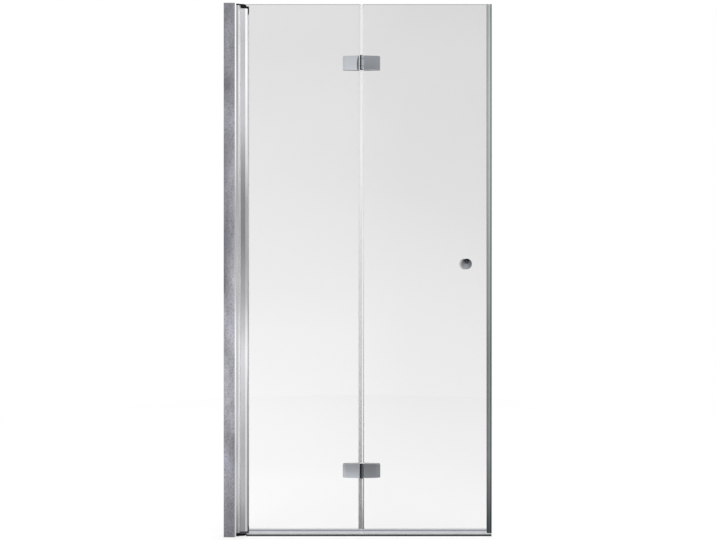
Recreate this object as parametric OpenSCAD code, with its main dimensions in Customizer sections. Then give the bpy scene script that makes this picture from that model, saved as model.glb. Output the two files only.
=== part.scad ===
// Folding shower door: two glass leaves, a wall pivot and two fold hinges.
// Millimetres. +Z is up, +X runs from the wall to the closing edge, -Y faces the room.
// The origin is the middle of the opening at tray level, in the mid plane of the glass.

/* [Door] */
// Overall width, from the wall to the closing edge
door_w = 980; // [900:1:1200]
// Overall height, from the tray to the top of the wall profile
door_h = 1950; // [1700:1:2200]
// Thickness of both panes
glass_t = 6; // [5:0.5:8]
// Height of the lower edge of the glass above the tray
glass_lift = 13; // [12:0.5:16]
// How far the top edge of the glass stays below the wall profile
glass_drop = 0.5; // [0.5:0.5:5]
// Width of the ground slope along the edges of the glass
arris = 0.5; // [0.2:0.1:0.8]

/* [Wall profile] */
// Width of the wall profile seen from the room
wall_w = 45; // [38:1:60]
// Depth of the wall profile, room side to shower side
wall_d = 42; // [36:1:50]
// Thickness of its two flanges
wall_t = 1.8; // [1.4:0.1:2.4]
// Width over which the flanges curve in at their tips
tip_w = 5; // [3:0.5:8]
// How far the flanges curve in at their tips
tip_drop = 1; // [0.6:0.1:1.1]
// Thickness of its web against the wall
web_t = 2; // [1.5:0.1:3]
// Height of the two stiffening ribs on the web
rib_h = 1.2; // [0.8:0.1:2]
// Radius of the holes for the wall screws
wall_hole_r = 2.75; // [2.25:0.25:3.5]
// Distance of the end holes from the ends of the profile
hole_end = 175; // [100:5:250]
// Distance between the two holes of a pair
hole_pitch = 500; // [300:10:550]

/* [Adjusting profile] */
// Part of the adjusting profile that shows beside the wall profile
adj_show = 13; // [10:0.2:25]
// Part of the adjusting profile that is inside the wall profile
adj_hidden = 35; // [30:1:35]
// Wall thickness of the adjusting profile
adj_t = 1.6; // [1.2:0.1:2]
// Radius of its two corners beside the barrel
adj_corner_r = 6; // [3:0.5:6.5]
// Play between the adjusting profile and the wall profile on each side
slide_gap = 0.2; // [0.1:0.05:0.4]
// Number of locking screws
lock_count = 3; // [2:1:5]
// Distance of the end locking screws from the ends of the profile
lock_end = 150; // [120:5:160]
// Shank radius of a locking screw
lock_r = 1.9; // [1.5:0.1:2.2]
// Head radius of a locking screw
lock_head_r = 3.8; // [3.2:0.1:4.2]
// Outer radius of the cover over a locking screw
cover_r = 5.4; // [5.2:0.1:7]
// Height of the cover over a locking screw
cover_h = 3.8; // [3.6:0.1:5]

/* [Wall pivot] */
// Outer radius of the turning barrel
barrel_r = 9.6; // [9.5:0.1:10.5]
// How deep the barrel axis stands off the end of the adjusting profile
nest = 7; // [6.9:0.1:7.5]
// Gap between the barrel and its round seat
seat_gap = 1.2; // [1:0.1:1.5]
// Wall thickness behind the round seat
seat_t = 2.4; // [2:0.1:3]
// Radius of the bore that runs the length of the barrel
barrel_bore_r = 6; // [5.6:0.1:6.2]
// Distance from the pivot axis to the end of the glazing jaws
jaw_reach = 22; // [21:0.1:32]
// Width of the slope on the shower side of the jaws' outer end
jaw_slope = 3.2; // [1:0.1:4]
// Width of the sloping band along the flat room face of the turning profile
face_slope = 9.5; // [6:0.5:11]
// How far that flat face reaches past the pivot axis towards the wall
face_left = 5; // [3:0.5:5.5]
// Width of the gasket's lip beside the jaws, and of the tongues of the end caps
lip_w = 3; // [2:0.1:5]
// Wall thickness of the glazing jaws
jaw_t = 2; // [1.6:0.1:2]
// Solid metal between the barrel and the floor of the glazing slot
slot_floor_t = 4; // [3.5:0.1:5]
// Thickness of the glazing gasket on each face of the glass
glazing_t = 1.4; // [1.2:0.1:1.4]
// Thickness of the fixed pivot blocks above and below the door
block_t = 5.5; // [5:0.5:8]
// How far the top pivot block stays below the top of the wall profile
block_drop = 2.5; // [0.5:0.5:5]
// Height of the foot of the bottom pivot block, which carries the adjusting profile
foot_t = 12; // [10:0.5:20]
// Height of the bottom pivot block above the tray
block_lift = 3; // [1:0.5:4]
// Depth of the plug that holds a pivot block in the adjusting profile
plug_depth = 25; // [15:1:40]
// Thickness of the turning end caps
cap_t = 8; // [5:0.5:9]
// Length of the cap's tongue over the glazing gasket
tongue_len = 22; // [12:1:40]
// Radius of the pivot pins
pivot_pin_r = 4; // [3:0.5:4.5]
// Radius of the head of a pivot pin
pivot_head_r = 6; // [5.5:0.1:6.5]
// Thickness of the head of a pivot pin
pivot_head_t = 2; // [1.5:0.1:3]
// Depth of the bushes inside the barrel
bush_depth = 20; // [12:1:30]
// Radius of the flange of a bush
bush_flange_r = 7.6; // [7.2:0.1:8.2]
// Thickness of the flange of a bush, which stands between cap and block
bush_flange_t = 1; // [0.8:0.1:1.4]

/* [Fold hinges] */
// Distance from the wall to the fold axis
fold_from_wall = 503; // [480:1:520]
// Distance from the mid plane of the glass to the fold axis
fold_out = 12; // [11.5:0.1:12.5]
// Gap between the two panes at the fold
fold_gap = 10; // [9:0.5:10]
// Height of the lower hinge above the tray
hinge_low = 240; // [180:1:320]
// Distance of the upper hinge below the top of the wall profile
hinge_high = 216.5; // [160:0.5:320]
// Reach of each hinge leaf from the fold axis
leaf_reach = 68.5; // [60:0.5:85]
// Height of a leaf next to the knuckles
leaf_h = 53; // [50:0.5:60]
// Height of a leaf at its outer end
leaf_end_h = 50; // [44:0.5:52]
// Thickness of a leaf next to the knuckles
leaf_t = 7; // [6.2:0.1:7]
// Thickness of a leaf at its outer end
leaf_end_t = 4; // [3.5:0.1:5]
// Width of the steeper band at the outer end of a leaf
leaf_band = 14; // [6:0.5:20]
// Thickness of a leaf where that band starts
leaf_band_t = 6; // [5:0.1:6.2]
// Corner radius of leaves and clamp plates
leaf_corner_r = 4; // [2:0.5:6]
// Thickness of the clamp plates on the shower side
clamp_t = 5; // [4.5:0.1:6]
// Distance from the fold axis to the near edge of a clamp plate
clamp_start = 8; // [6:0.5:12]
// Thickness of the gaskets between glass and metal
pad_t = 1; // [0.6:0.1:1.5]
// Outer radius of the hinge knuckles
knuckle_r = 9; // [8.5:0.1:9.5]
// Height of the whole row of knuckles
knuckle_row_h = 51; // [48:0.5:53]
// Height of one fixed knuckle at the end of the row
end_knuckle_h = 12; // [9:0.5:15]
// Outer radius of the bearing sleeve
sleeve_r = 5.5; // [5:0.1:6]
// Width of the slot that shows the bearing sleeve
sleeve_slot = 4.6; // [4:0.1:5]
// How far the middle of that slot lies from the fold axis towards the wall
slot_shift = 3.3; // [0:0.1:3.5]
// How far the bearing sleeve stands out of the knuckles
sleeve_proud = 1.2; // [0.6:0.1:2]
// Radius of the hinge pin
hinge_pin_r = 3; // [2.5:0.1:3.5]
// Radius of the hinge pin's two heads
hinge_head_r = 4.6; // [4.2:0.1:5]
// Thickness of the hinge pin's two heads
hinge_head_t = 1.4; // [1:0.1:2]
// Thickness of the thrust washers between the knuckles
washer_t = 0.9; // [0.6:0.1:1.2]

/* [Hinge screws] */
// Distance from the fold axis to the clamp screws
screw_at = 38; // [30:1:45]
// Distance between the two clamp screws of a leaf
screw_pitch = 26; // [22:1:28]
// Shank radius of a clamp screw
screw_r = 2.5; // [2:0.1:3]
// Head radius of a clamp screw
screw_head_r = 5; // [4.5:0.1:5.2]
// Depth of the threaded bore in a leaf
tap_depth = 4; // [3:0.1:4]
// Radius of the holes in the glass
glass_hole_r = 7; // [6.5:0.1:8]

/* [Seals] */
// Thickness of the legs of all clip-on seals
leg_t = 1.1; // [0.8:0.1:1.4]
// Thickness of the bridge of all clip-on seals
bridge_t = 1.2; // [0.8:0.1:1.6]
// Length of the inner fold seal's legs over the glass
inner_leg = 6.4; // [4:0.1:9]
// Length of the outer fold seal's legs over the glass
outer_leg = 4.4; // [3:0.1:8]
// Outer radius of the bulb of the inner fold seal
bulb_r = 2.9; // [2.4:0.1:2.9]
// Wall thickness of that bulb
bulb_t = 0.9; // [0.6:0.1:1.2]
// Gap between the two fold seals
seal_gap = 0.4; // [0.3:0.1:0.8]
// Top of the drip seals above the tray
drip_top = 25.5; // [22:0.5:30]
// Thickness of the bridge under the glass
drip_bridge_t = 2; // [1.5:0.1:2.5]
// Width of the closing seal beyond the edge of the glass
magnet_w = 12; // [11:0.5:16]
// Half depth of the closing seal
magnet_half_d = 5; // [4.6:0.1:6]
// Length of the closing seal's legs over the glass
magnet_leg = 6.2; // [4:0.1:9]
// Wall thickness of the closing seal's chambers
chamber_t = 0.9; // [0.7:0.1:1]
// Width of the magnet strip
strip_w = 4.4; // [3.5:0.1:5]
// Lower end of the closing seal above the tray
magnet_lift = 10; // [8:0.5:12]

/* [Threshold] */
// Radius of the half round threshold bar
bar_r = 7; // [6:0.1:7]
// Running gap between the bar and the drip seals
bar_gap = 0.4; // [0.3:0.1:1]
// Thickness of the bar's end caps
bar_cap_t = 2.5; // [1.5:0.1:4]
// Distance from the end of the bar to the closing edge
bar_short = 1; // [0:0.5:4]

/* [Knob] */
// Distance from the closing edge to the knob
knob_from_edge = 95; // [60:1:120]
// Height of the knob above the tray
knob_z = 997; // [900:1:1100]
// Radius of the knob
knob_r = 20; // [17:0.5:24]
// Length of each knob from the washer outwards
knob_len = 29; // [26:0.5:36]
// Length of the knob's neck
knob_neck_len = 11; // [8:0.5:14]
// Radius of the knob's neck
knob_neck_r = 8; // [7:0.5:10]
// Edge radius of the knob
knob_edge_r = 4; // [2:0.5:6]
// Rise of the domed face inside the knob's round edge
dome_rise = 2.6; // [1.5:0.1:4]
// Radius of the hollow throat between the neck and the head of the knob
throat_r = 3; // [2:0.5:4]
// Radius of the stud that joins the two knobs
stud_r = 3; // [2.5:0.1:4]
// How deep the stud is screwed into each knob
stud_depth = 14; // [9:0.5:18]
// Radius of the washers under the knobs
knob_washer_r = 10; // [9:0.5:14]

/* [Hidden] */
$fn = 64;

// Clearance of a running fit and of pieces that seat in one another
fit = 0.05;
// Clearance between a soft piece and a piece that moves past it
soft_gap = 0.3;
// Clearance between a fixed and a turning piece
run_gap = 0.4;
// Small overshoot of a cutting shape
over = 1;

left = -door_w / 2;
right = door_w / 2;
wall_front = left + wall_w;
adj_half = wall_d / 2 - wall_t - slide_gap;
adj_left = wall_front - adj_hidden;
adj_right = wall_front + adj_show;
pivot_x = adj_right + nest;
seat_r = barrel_r + seat_gap;

slot_half = glass_t / 2 + glazing_t;
jaw_half = slot_half + jaw_t;
jaw_tip = slot_half + 0.4 * jaw_t;
slot_floor = barrel_r + slot_floor_t;
jaw_end = pivot_x + jaw_reach;
pane_left = pivot_x + slot_floor + glazing_t;
arm_r = slot_floor + glazing_t - 2 * soft_gap;

glass_low = glass_lift;
glass_high = door_h - glass_drop;
block_top_high = door_h - block_drop;
block_top_low = block_top_high - block_t;
block_bottom_high = block_lift + block_t;
foot_high = block_lift + foot_t;
cap_top_high = block_top_low - run_gap - bush_flange_t;
cap_bottom_low = block_bottom_high + run_gap + bush_flange_t;
pivot_high = cap_top_high - cap_t;
pivot_low = cap_bottom_low + cap_t;

fold_x = left + fold_from_wall;
inner_edge = fold_x - fold_gap / 2;
outer_edge = fold_x + fold_gap / 2;
lower_z = hinge_low;
upper_z = door_h - hinge_high;
hinge_zs = [lower_z, upper_z];
leaf_back = fold_out - glass_t / 2 - pad_t;
leaf_front = leaf_back - leaf_t;
leaf_start = knuckle_r + run_gap;
clamp_front = fold_out + glass_t / 2 + pad_t;
leaf_chamfer = 1.2;
middle_knuckle_h = knuckle_row_h - 2 * end_knuckle_h - 2 * (washer_t + 2 * fit);
screw_zs = [-screw_pitch / 2, screw_pitch / 2];
pad_inset = 1;
seal_break = leaf_h / 2 + 1.5;

clip_half = glass_t / 2 + leg_t;
bulb_nose = fold_x + 1.7;
lip_nose = bulb_nose + seal_gap;
drip_low = bar_r + bar_gap;
drip_start = jaw_end + lip_w + soft_gap;
magnet_pane = right - magnet_w;
drip_end = magnet_pane - magnet_leg - soft_gap;

knob_x = right - knob_from_edge;
knob_base = glass_t / 2 + pad_t;
bar_left = pivot_x + arm_r + run_gap;
bar_right = right - bar_short;

metal = "silver";
chrome = "gainsboro";
black = "#202022";
clear_pvc = "#c9c6d2";
glass_tint = "#dfe8e6";

// ---------- shared shapes ----------

// A box between two opposite corners
module span(low, high) {
    translate(low) cube(high - low);
}

// A rectangle between two opposite corners
module patch(low, high) {
    translate(low) square(high - low);
}

// An outline in plan, carried up from z0 to z1
module upright(z0, z1) {
    translate([0, 0, z0]) linear_extrude(z1 - z0) children();
}

// An outline seen from the room, carried from y0 to y1
module facing(y0, y1) {
    translate([0, y1, 0]) rotate([90, 0, 0]) linear_extrude(y1 - y0) children();
}

// A side outline (y, z), carried from x0 to x1
module sideways(x0, x1) {
    translate([x0, 0, 0]) rotate([90, 0, 90]) linear_extrude(x1 - x0) children();
}

// A round bar from y0 to y1
module round_y(r, y0, y1) {
    translate([0, y1, 0]) rotate([90, 0, 0]) cylinder(r = r, h = y1 - y0);
}

// The waste outside a round corner whose tip is at the origin, metal towards -x and -y
module corner_waste(r) {
    difference() {
        translate([-r, -r]) square(r + over);
        translate([-r, -r]) circle(r);
    }
}

// A rectangle with four round corners
module rounded_patch(low, high, r) {
    patch(low + [r, 0], high - [r, 0]);
    patch(low + [0, r], high - [0, r]);
    for (x = [low[0] + r, high[0] - r])
        for (y = [low[1] + r, high[1] - r])
            translate([x, y]) circle(r);
}

// Two legs along the faces of the glass and a bridge over its edge; the edge is at x = 0
module clip_outline(leg, bridge) {
    for (side = [-1, 1])
        translate([-leg, side > 0 ? glass_t / 2 : -clip_half]) square([leg + bridge, leg_t]);
    patch([0, -clip_half], [bridge, clip_half]);
}

// ---------- fixed to the wall ----------

// Open channel that is screwed to the wall
module wall_profile() {
    color(metal) difference() {
        upright(0, door_h) wall_profile_outline();
        for (z = [hole_end, hole_end + hole_pitch, door_h - hole_end - hole_pitch, door_h - hole_end])
            translate([left - over, 0, z]) rotate([0, 90, 0]) cylinder(r = wall_hole_r, h = web_t + 2 * over);
        for (z = lock_zs())
            translate([lock_x(), 0, z]) round_y(lock_r + 3 * fit, 0, wall_d);
    }
}

// A web with two ribs, and two flanges whose outer faces curve in at the tips
module wall_profile_outline() {
    tip_r = dome_r(tip_w, tip_drop);
    patch([left, -wall_d / 2], [left + web_t, wall_d / 2]);
    for (side = [-1, 1]) scale([1, side]) {
        patch([left, wall_d / 2 - wall_t], [wall_front - tip_w, wall_d / 2]);
        intersection() {
            patch([wall_front - tip_w - over, wall_d / 2 - wall_t], [wall_front, wall_d / 2]);
            translate([wall_front - tip_w, wall_d / 2 - tip_r]) circle(tip_r);
        }
        translate([left + web_t + rib_h - 0.5, wall_d / 4]) circle(0.5);
        patch([left, wall_d / 4 - 0.5], [left + web_t + rib_h - 0.5, wall_d / 4 + 0.5]);
    }
}

function lock_x() = adj_left + adj_hidden / 2;
function lock_zs() = [for (i = [0:lock_count - 1])
    lock_end + i * (door_h - 2 * lock_end) / (lock_count - 1)];

// Outer outline of the adjusting profile, with two round corners beside the barrel
module adjusting_silhouette() {
    difference() {
        patch([adj_left, -adj_half], [adj_right, adj_half]);
        for (side = [-1, 1])
            translate([adj_right, side * adj_half]) scale([1, side]) corner_waste(adj_corner_r);
    }
}

// Profile that slides in the wall profile and carries the pivot
module adjusting_profile() {
    color(chrome) difference() {
        upright(foot_high, block_top_low) difference() {
            adjusting_silhouette();
            difference() {
                rounded_patch([adj_left - 2 * adj_corner_r, adj_t - adj_half],
                    [adj_right - adj_t, adj_half - adj_t], adj_corner_r - adj_t);
                translate([pivot_x, 0]) circle(seat_r + seat_t);
            }
            translate([pivot_x, 0]) circle(seat_r);
            for (side = [-1, 1])
                wiper_place(side)
                    patch([seat_r - 0.5, -wiper_half - fit], [wiper_root + fit, wiper_half + fit]);
        }
        for (z = lock_zs())
            translate([lock_x(), 0, z]) round_y(lock_r + fit, 0, wall_d);
    }
}

wiper_half = 0.8;
wiper_root = seat_r + 1.2;
wiper_angle = 26;

module wiper_place(side) {
    translate([pivot_x, 0]) rotate(180 + side * wiper_angle) children();
}

// Soft strips in the round seat that wipe the barrel
module barrel_wipers() {
    color(clear_pvc) upright(foot_high, block_top_low)
        for (side = [-1, 1])
            wiper_place(side) patch([barrel_r + soft_gap, -wiper_half], [wiper_root, wiper_half]);
}

// Plug that closes the top of the wall profile behind the pivot block
module top_filler_cap() {
    start = left + web_t + rib_h + fit;
    color(metal) {
        span([start, -adj_half, block_top_low], [adj_left - fit, adj_half, block_top_high]);
        for (y0 = [-adj_half, adj_half - 2])
            span([start, y0, block_top_low - 12], [start + 2, y0 + 2, block_top_low]);
    }
}

lock_head_h = 2;

// Screws that lock the adjusting profile, from the shower side
module locking_screws() {
    color(metal) for (z = lock_zs())
        translate([lock_x(), wall_d / 2, z]) rotate([-90, 0, 0]) rotate_extrude() {
            patch([0, -7], [lock_r, 0.5]);
            intersection() {
                patch([0, 0], [lock_head_r, lock_head_h]);
                translate([0, lock_head_h - dome_r(lock_head_r, 1.2)]) circle(dome_r(lock_head_r, 1.2));
            }
        }
}

// Radius of a sphere whose cap has base radius r and rise h
function dome_r(r, h) = (r * r + h * h) / (2 * h);

// Caps with a sloping rim that cover the heads of the locking screws
module screw_covers() {
    rim = 1;
    color(metal) for (z = lock_zs())
        translate([lock_x(), wall_d / 2, z]) rotate([-90, 0, 0]) rotate_extrude() difference() {
            polygon([[0, 0], [cover_r, 0], [cover_r, cover_h - rim], [cover_r - rim, cover_h], [0, cover_h]]);
            patch([0, -over], [lock_head_r + 0.4, lock_head_h + 0.3]);
        }
}

// Outline of both pivot blocks: a plate on the adjusting profile and a round arm over the barrel
module block_outline() {
    adjusting_silhouette();
    patch([adj_left + over, -arm_r], [pivot_x, arm_r]);
    translate([pivot_x, 0]) circle(arm_r);
}

// Hollow plug that fits in the chamber of the adjusting profile
module plug_outline() {
    half = adj_half - adj_t - fit;
    plug_right = pivot_x - seat_r - seat_t - 0.5;
    difference() {
        rounded_patch([adj_left, -half], [plug_right, half], 2);
        rounded_patch([adj_left + 3, 3 - half], [plug_right - 3, half - 3], 1.5);
    }
}

module top_pivot_block() {
    color(black) difference() {
        union() {
            upright(block_top_low, block_top_high) block_outline();
            upright(block_top_low - plug_depth, block_top_low) plug_outline();
        }
        pivot_bore(block_top_low - over, block_top_high + over, pivot_pin_r + fit);
        pivot_bore(block_top_high - pivot_head_t, block_top_high + over, pivot_head_r + fit);
    }
}

module bottom_pivot_block() {
    color(black) difference() {
        union() {
            upright(block_lift, block_bottom_high) block_outline();
            upright(block_lift, foot_high) difference() {
                adjusting_silhouette();
                translate([pivot_x, 0]) circle(seat_r);
            }
            upright(foot_high, foot_high + plug_depth) plug_outline();
        }
        pivot_bore(block_lift - over, block_bottom_high + over, pivot_pin_r + fit);
        pivot_bore(block_lift - over, block_lift + pivot_head_t, pivot_head_r + fit);
    }
}

// A round shape on the pivot axis between two heights
module pivot_bore(z0, z1, r) {
    translate([pivot_x, 0, z0]) cylinder(r = r, h = z1 - z0);
}

module top_pivot_pin() {
    color(metal) {
        pivot_bore(pivot_high - bush_depth + 3, block_top_high, pivot_pin_r);
        pivot_bore(block_top_high - pivot_head_t, block_top_high, pivot_head_r);
    }
}

module bottom_pivot_pin() {
    color(metal) {
        pivot_bore(block_lift, pivot_low + bush_depth - 3, pivot_pin_r);
        pivot_bore(block_lift, block_lift + pivot_head_t, pivot_head_r);
    }
}

// Half round bar on the tray that keeps the water in
module threshold_bar() {
    color(black) sideways(bar_left + bar_cap_t, bar_right - bar_cap_t) difference() {
        bar_outline();
        rounded_patch([-bar_r / 2, -over], [bar_r / 2, 1], 0.5);
    }
}

module bar_outline() {
    intersection() {
        circle(bar_r);
        patch([-bar_r, 0], [bar_r, bar_r]);
    }
}

module threshold_end_caps() {
    color(black) {
        sideways(bar_left, bar_left + bar_cap_t) bar_outline();
        sideways(bar_right - bar_cap_t, bar_right) bar_outline();
    }
}

// ---------- turning on the wall pivot ----------

// Outer outline of the turning profile: a barrel with two glazing jaws. The room side is one
// flat face as deep as the barrel, with a sloping band; the shower side keeps clear when it turns.
module pivot_silhouette() {
    translate([pivot_x, 0]) circle(barrel_r);
    polygon([[pivot_x - face_left, -barrel_r], [jaw_end - face_slope, -barrel_r], [jaw_end, -jaw_tip],
        [jaw_end, jaw_tip], [jaw_end - jaw_slope, jaw_half], [pivot_x, jaw_half], [pivot_x - face_left, 0]]);
}

module pivot_slot() {
    patch([pivot_x + slot_floor, -slot_half], [jaw_end + over, slot_half]);
}

module pivot_profile() {
    color(chrome) upright(pivot_low, pivot_high) difference() {
        pivot_silhouette();
        pivot_slot();
        translate([pivot_x, 0]) circle(barrel_bore_r);
    }
}

tongue_half = jaw_half - 0.4;

// Black end cap of the turning profile; direction is 1 at the top and -1 at the bottom
module pivot_cap(z_profile, direction) {
    z_end = z_profile + direction * cap_t;
    z0 = min(z_profile, z_end);
    z1 = max(z_profile, z_end);
    color(black) difference() {
        union() {
            upright(z0, z1) difference() {
                pivot_silhouette();
                pivot_slot();
            }
            for (side = [-1, 1])
                facing(side > 0 ? slot_half : -tongue_half, side > 0 ? tongue_half : -slot_half)
                    polygon([[jaw_end - 1, z_end], [jaw_end + lip_w, z_end],
                        [jaw_end + lip_w, z_profile - direction * tongue_len / 2],
                        [jaw_end + 0.6 * lip_w, z_profile - direction * tongue_len],
                        [jaw_end, z_profile - direction * tongue_len],
                        [jaw_end, z_profile], [jaw_end - 1, z_profile]]);
        }
        pivot_bore(z0 - over, z1 + over, barrel_bore_r);
    }
}

module pivot_top_cap() {
    pivot_cap(pivot_high, 1);
}

module pivot_bottom_cap() {
    pivot_cap(pivot_low, -1);
}

// Bearing bush around a pivot pin, whose flange lies on the end cap
module pivot_bush(z_far, z_open, z_flange) {
    color("ivory") difference() {
        union() {
            pivot_bore(min(z_far, z_open), max(z_far, z_open), barrel_bore_r - fit);
            pivot_bore(min(z_open, z_flange), max(z_open, z_flange), bush_flange_r);
        }
        pivot_bore(min(z_far, z_open) - over, max(z_far, z_open) + over, pivot_pin_r + fit);
    }
}

module top_pivot_bush() {
    pivot_bush(pivot_high - bush_depth, cap_top_high + bush_flange_t, cap_top_high);
}

module bottom_pivot_bush() {
    pivot_bush(pivot_low + bush_depth, cap_bottom_low - bush_flange_t, cap_bottom_low);
}

// Soft channel that holds the glass in the jaws, with a lip on each jaw
module glazing_gasket() {
    color(clear_pvc) {
        upright(cap_bottom_low, cap_top_high) difference() {
            patch([pivot_x + slot_floor, -slot_half], [jaw_end, slot_half]);
            patch([pane_left, -glass_t / 2], [jaw_end + over, glass_t / 2]);
        }
        upright(pivot_low + tongue_len, pivot_high - tongue_len)
            for (side = [-1, 1])
                patch([jaw_end, side > 0 ? glass_t / 2 : 0.2 - jaw_tip],
                    [jaw_end + lip_w - 0.2, side > 0 ? jaw_tip - 0.2 : -glass_t / 2]);
    }
}

// A rectangle whose four corners are cut at 45 degrees by the arris of the glass
module arrised_patch(low, high) {
    a = arris;
    polygon([[low[0] + a, low[1]], [high[0] - a, low[1]], [high[0], low[1] + a], [high[0], high[1] - a],
        [high[0] - a, high[1]], [low[0] + a, high[1]], [low[0], high[1] - a], [low[0], low[1] + a]]);
}

// A pane with ground edges and its holes; holes is a list of [x, z]
module pane(x0, x1, holes) {
    color(glass_tint, 0.35) difference() {
        intersection() {
            upright(glass_low, glass_high) arrised_patch([x0, -glass_t / 2], [x1, glass_t / 2]);
            sideways(x0, x1) arrised_patch([-glass_t / 2, glass_low], [glass_t / 2, glass_high]);
        }
        for (hole = holes)
            translate([hole[0], 0, hole[1]]) round_y(glass_hole_r, -glass_t, glass_t);
    }
}

// Places of the clamp screws of both hinges on one leaf; side is -1 for the fixed leaf
function screw_places(side) = [for (hz = hinge_zs) for (sz = screw_zs)
    [fold_x + side * screw_at, hz + sz]];

module pivot_glass() {
    pane(pane_left, inner_edge, screw_places(-1));
}

// Heights between which the fold seals run, broken at both hinges
function seal_runs() = [
    [drip_top + soft_gap, lower_z - seal_break],
    [lower_z + seal_break, upper_z - seal_break],
    [upper_z + seal_break, glass_high]
];

module inner_fold_seal() {
    color(clear_pvc) for (run = seal_runs())
        upright(run[0], run[1]) difference() {
            union() {
                translate([inner_edge, 0]) clip_outline(inner_leg, bridge_t);
                translate([bulb_nose - bulb_r, 0]) circle(bulb_r);
                patch([inner_edge + bridge_t / 2, -bulb_r], [bulb_nose - bulb_r, bulb_r]);
            }
            translate([bulb_nose - bulb_r, 0]) circle(bulb_r - bulb_t);
        }
}

// Outline (y, z) of a drip seal: a clip on the glass, a straight lip and a deflector
module drip_outline() {
    low = glass_low - drip_bridge_t;
    patch([-clip_half, low], [clip_half, glass_low]);
    for (side = [-1, 1])
        patch([side > 0 ? glass_t / 2 : -clip_half, low], [side > 0 ? clip_half : -glass_t / 2, drip_top]);
    polygon([[-clip_half, low], [-clip_half + 0.4, drip_low], [-clip_half + 1.3, drip_low],
        [-clip_half + 1.8, low]]);
    polygon([[clip_half - 2.2, low], [clip_half + 2.6, drip_low + 0.5], [clip_half + 3.2, drip_low + 1.2],
        [clip_half, low + 0.6]]);
}

module inner_drip_seal() {
    color(clear_pvc) sideways(drip_start, fold_x - soft_gap) drip_outline();
}

// ---------- fold hinges ----------

// Stands children, drawn round the fold axis at height 0, at a hinge
module at_hinge(z) {
    translate([fold_x, -fold_out, z]) children();
}

// Outline of a leaf seen from the room: a taper with two round outer corners
module leaf_face(start) {
    difference() {
        polygon([[start, -leaf_h / 2], [leaf_reach, -leaf_end_h / 2],
            [leaf_reach, leaf_end_h / 2], [start, leaf_h / 2]]);
        for (side = [-1, 1])
            translate([leaf_reach, side * leaf_end_h / 2]) scale([1, side]) corner_waste(leaf_corner_r);
    }
}

// Wedge shaped plate of a leaf with a steeper outer band, reaching towards +x
module leaf_plate() {
    intersection() {
        facing(0, leaf_back) leaf_face(leaf_start);
        upright(-leaf_h, leaf_h) polygon([
            [leaf_start, leaf_front], [leaf_start, leaf_back], [leaf_reach, leaf_back],
            [leaf_reach, leaf_back - leaf_end_t + leaf_chamfer],
            [leaf_reach - leaf_chamfer, leaf_back - leaf_end_t],
            [leaf_reach - leaf_band, leaf_back - leaf_band_t]]);
    }
}

// One knuckle with the web that ties it to its plate
module knuckle(z0, z1) {
    upright(z0, z1) {
        circle(knuckle_r);
        patch([0, leaf_front], [leaf_start + over, leaf_back]);
    }
}

// What is cut out of a leaf: the sleeve's bore, its slot centred at x = slot_x, and the threaded bores
module leaf_cuts(slot_x) {
    translate([0, 0, -leaf_h]) cylinder(r = sleeve_r + fit, h = 2 * leaf_h);
    span([slot_x - sleeve_slot / 2, -knuckle_r - over, -leaf_h], [slot_x + sleeve_slot / 2, 0, leaf_h]);
    for (z = screw_zs)
        translate([screw_at, 0, z]) round_y(screw_r + fit, leaf_back - tap_depth, leaf_back + over);
}

// Leaf on the turning pane, with the two end knuckles
module fixed_leaf(z) {
    half = knuckle_row_h / 2;
    color(chrome) at_hinge(z) mirror([1, 0, 0]) difference() {
        union() {
            leaf_plate();
            knuckle(-half, end_knuckle_h - half);
            knuckle(half - end_knuckle_h, half);
        }
        leaf_cuts(slot_shift);
    }
}

// Leaf on the folding pane, with the middle knuckle
module moving_leaf(z) {
    color(chrome) at_hinge(z) difference() {
        union() {
            leaf_plate();
            knuckle(-middle_knuckle_h / 2, middle_knuckle_h / 2);
        }
        leaf_cuts(-slot_shift);
    }
}

// Clamp plate on the shower side; side is -1 on the turning pane and 1 on the folding pane
module clamp_plate(z, side) {
    back = clamp_front + clamp_t;
    color(chrome) at_hinge(z) scale([side, 1, 1]) difference() {
        intersection() {
            facing(clamp_front, back) leaf_face(clamp_start);
            upright(-leaf_h, leaf_h) polygon([[clamp_start, clamp_front], [leaf_reach, clamp_front],
                [leaf_reach, back - leaf_chamfer], [leaf_reach - leaf_chamfer, back],
                [clamp_start + leaf_chamfer, back], [clamp_start, back - leaf_chamfer]]);
        }
        for (sz = screw_zs)
            translate([screw_at, 0, sz]) {
                round_y(screw_r + 2 * fit, clamp_front - over, back + over);
                translate([0, back, 0]) rotate([90, 0, 0])
                    cylinder(r1 = screw_head_r + 2 * fit, r2 = screw_r + 2 * fit, h = screw_head_r - screw_r);
            }
    }
}

// Gaskets between glass and metal on one pane; side as for the clamp plates
module leaf_gaskets(side) {
    color(black) for (hz = hinge_zs)
        at_hinge(hz) scale([side, 1, 1]) for (y0 = [leaf_back, clamp_front - pad_t])
            difference() {
                facing(y0, y0 + pad_t) intersection() {
                    leaf_face(0);
                    rounded_patch([leaf_start + pad_inset, pad_inset - leaf_end_h / 2],
                        [leaf_reach - pad_inset, leaf_end_h / 2 - pad_inset], leaf_corner_r - pad_inset);
                }
                for (sz = screw_zs)
                    translate([screw_at, 0, sz]) round_y(screw_r + 2 * fit, y0 - over, y0 + pad_t + over);
            }
}

// Sleeves that keep the screws off the glass
module leaf_ferrules(side) {
    color("white") for (place = screw_places(side))
        translate([place[0], 0, place[1]]) difference() {
            round_y(glass_hole_r - 2 * fit, fit - glass_t / 2, glass_t / 2 - fit);
            round_y(screw_r + 2 * fit, -glass_t, glass_t);
        }
}

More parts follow.
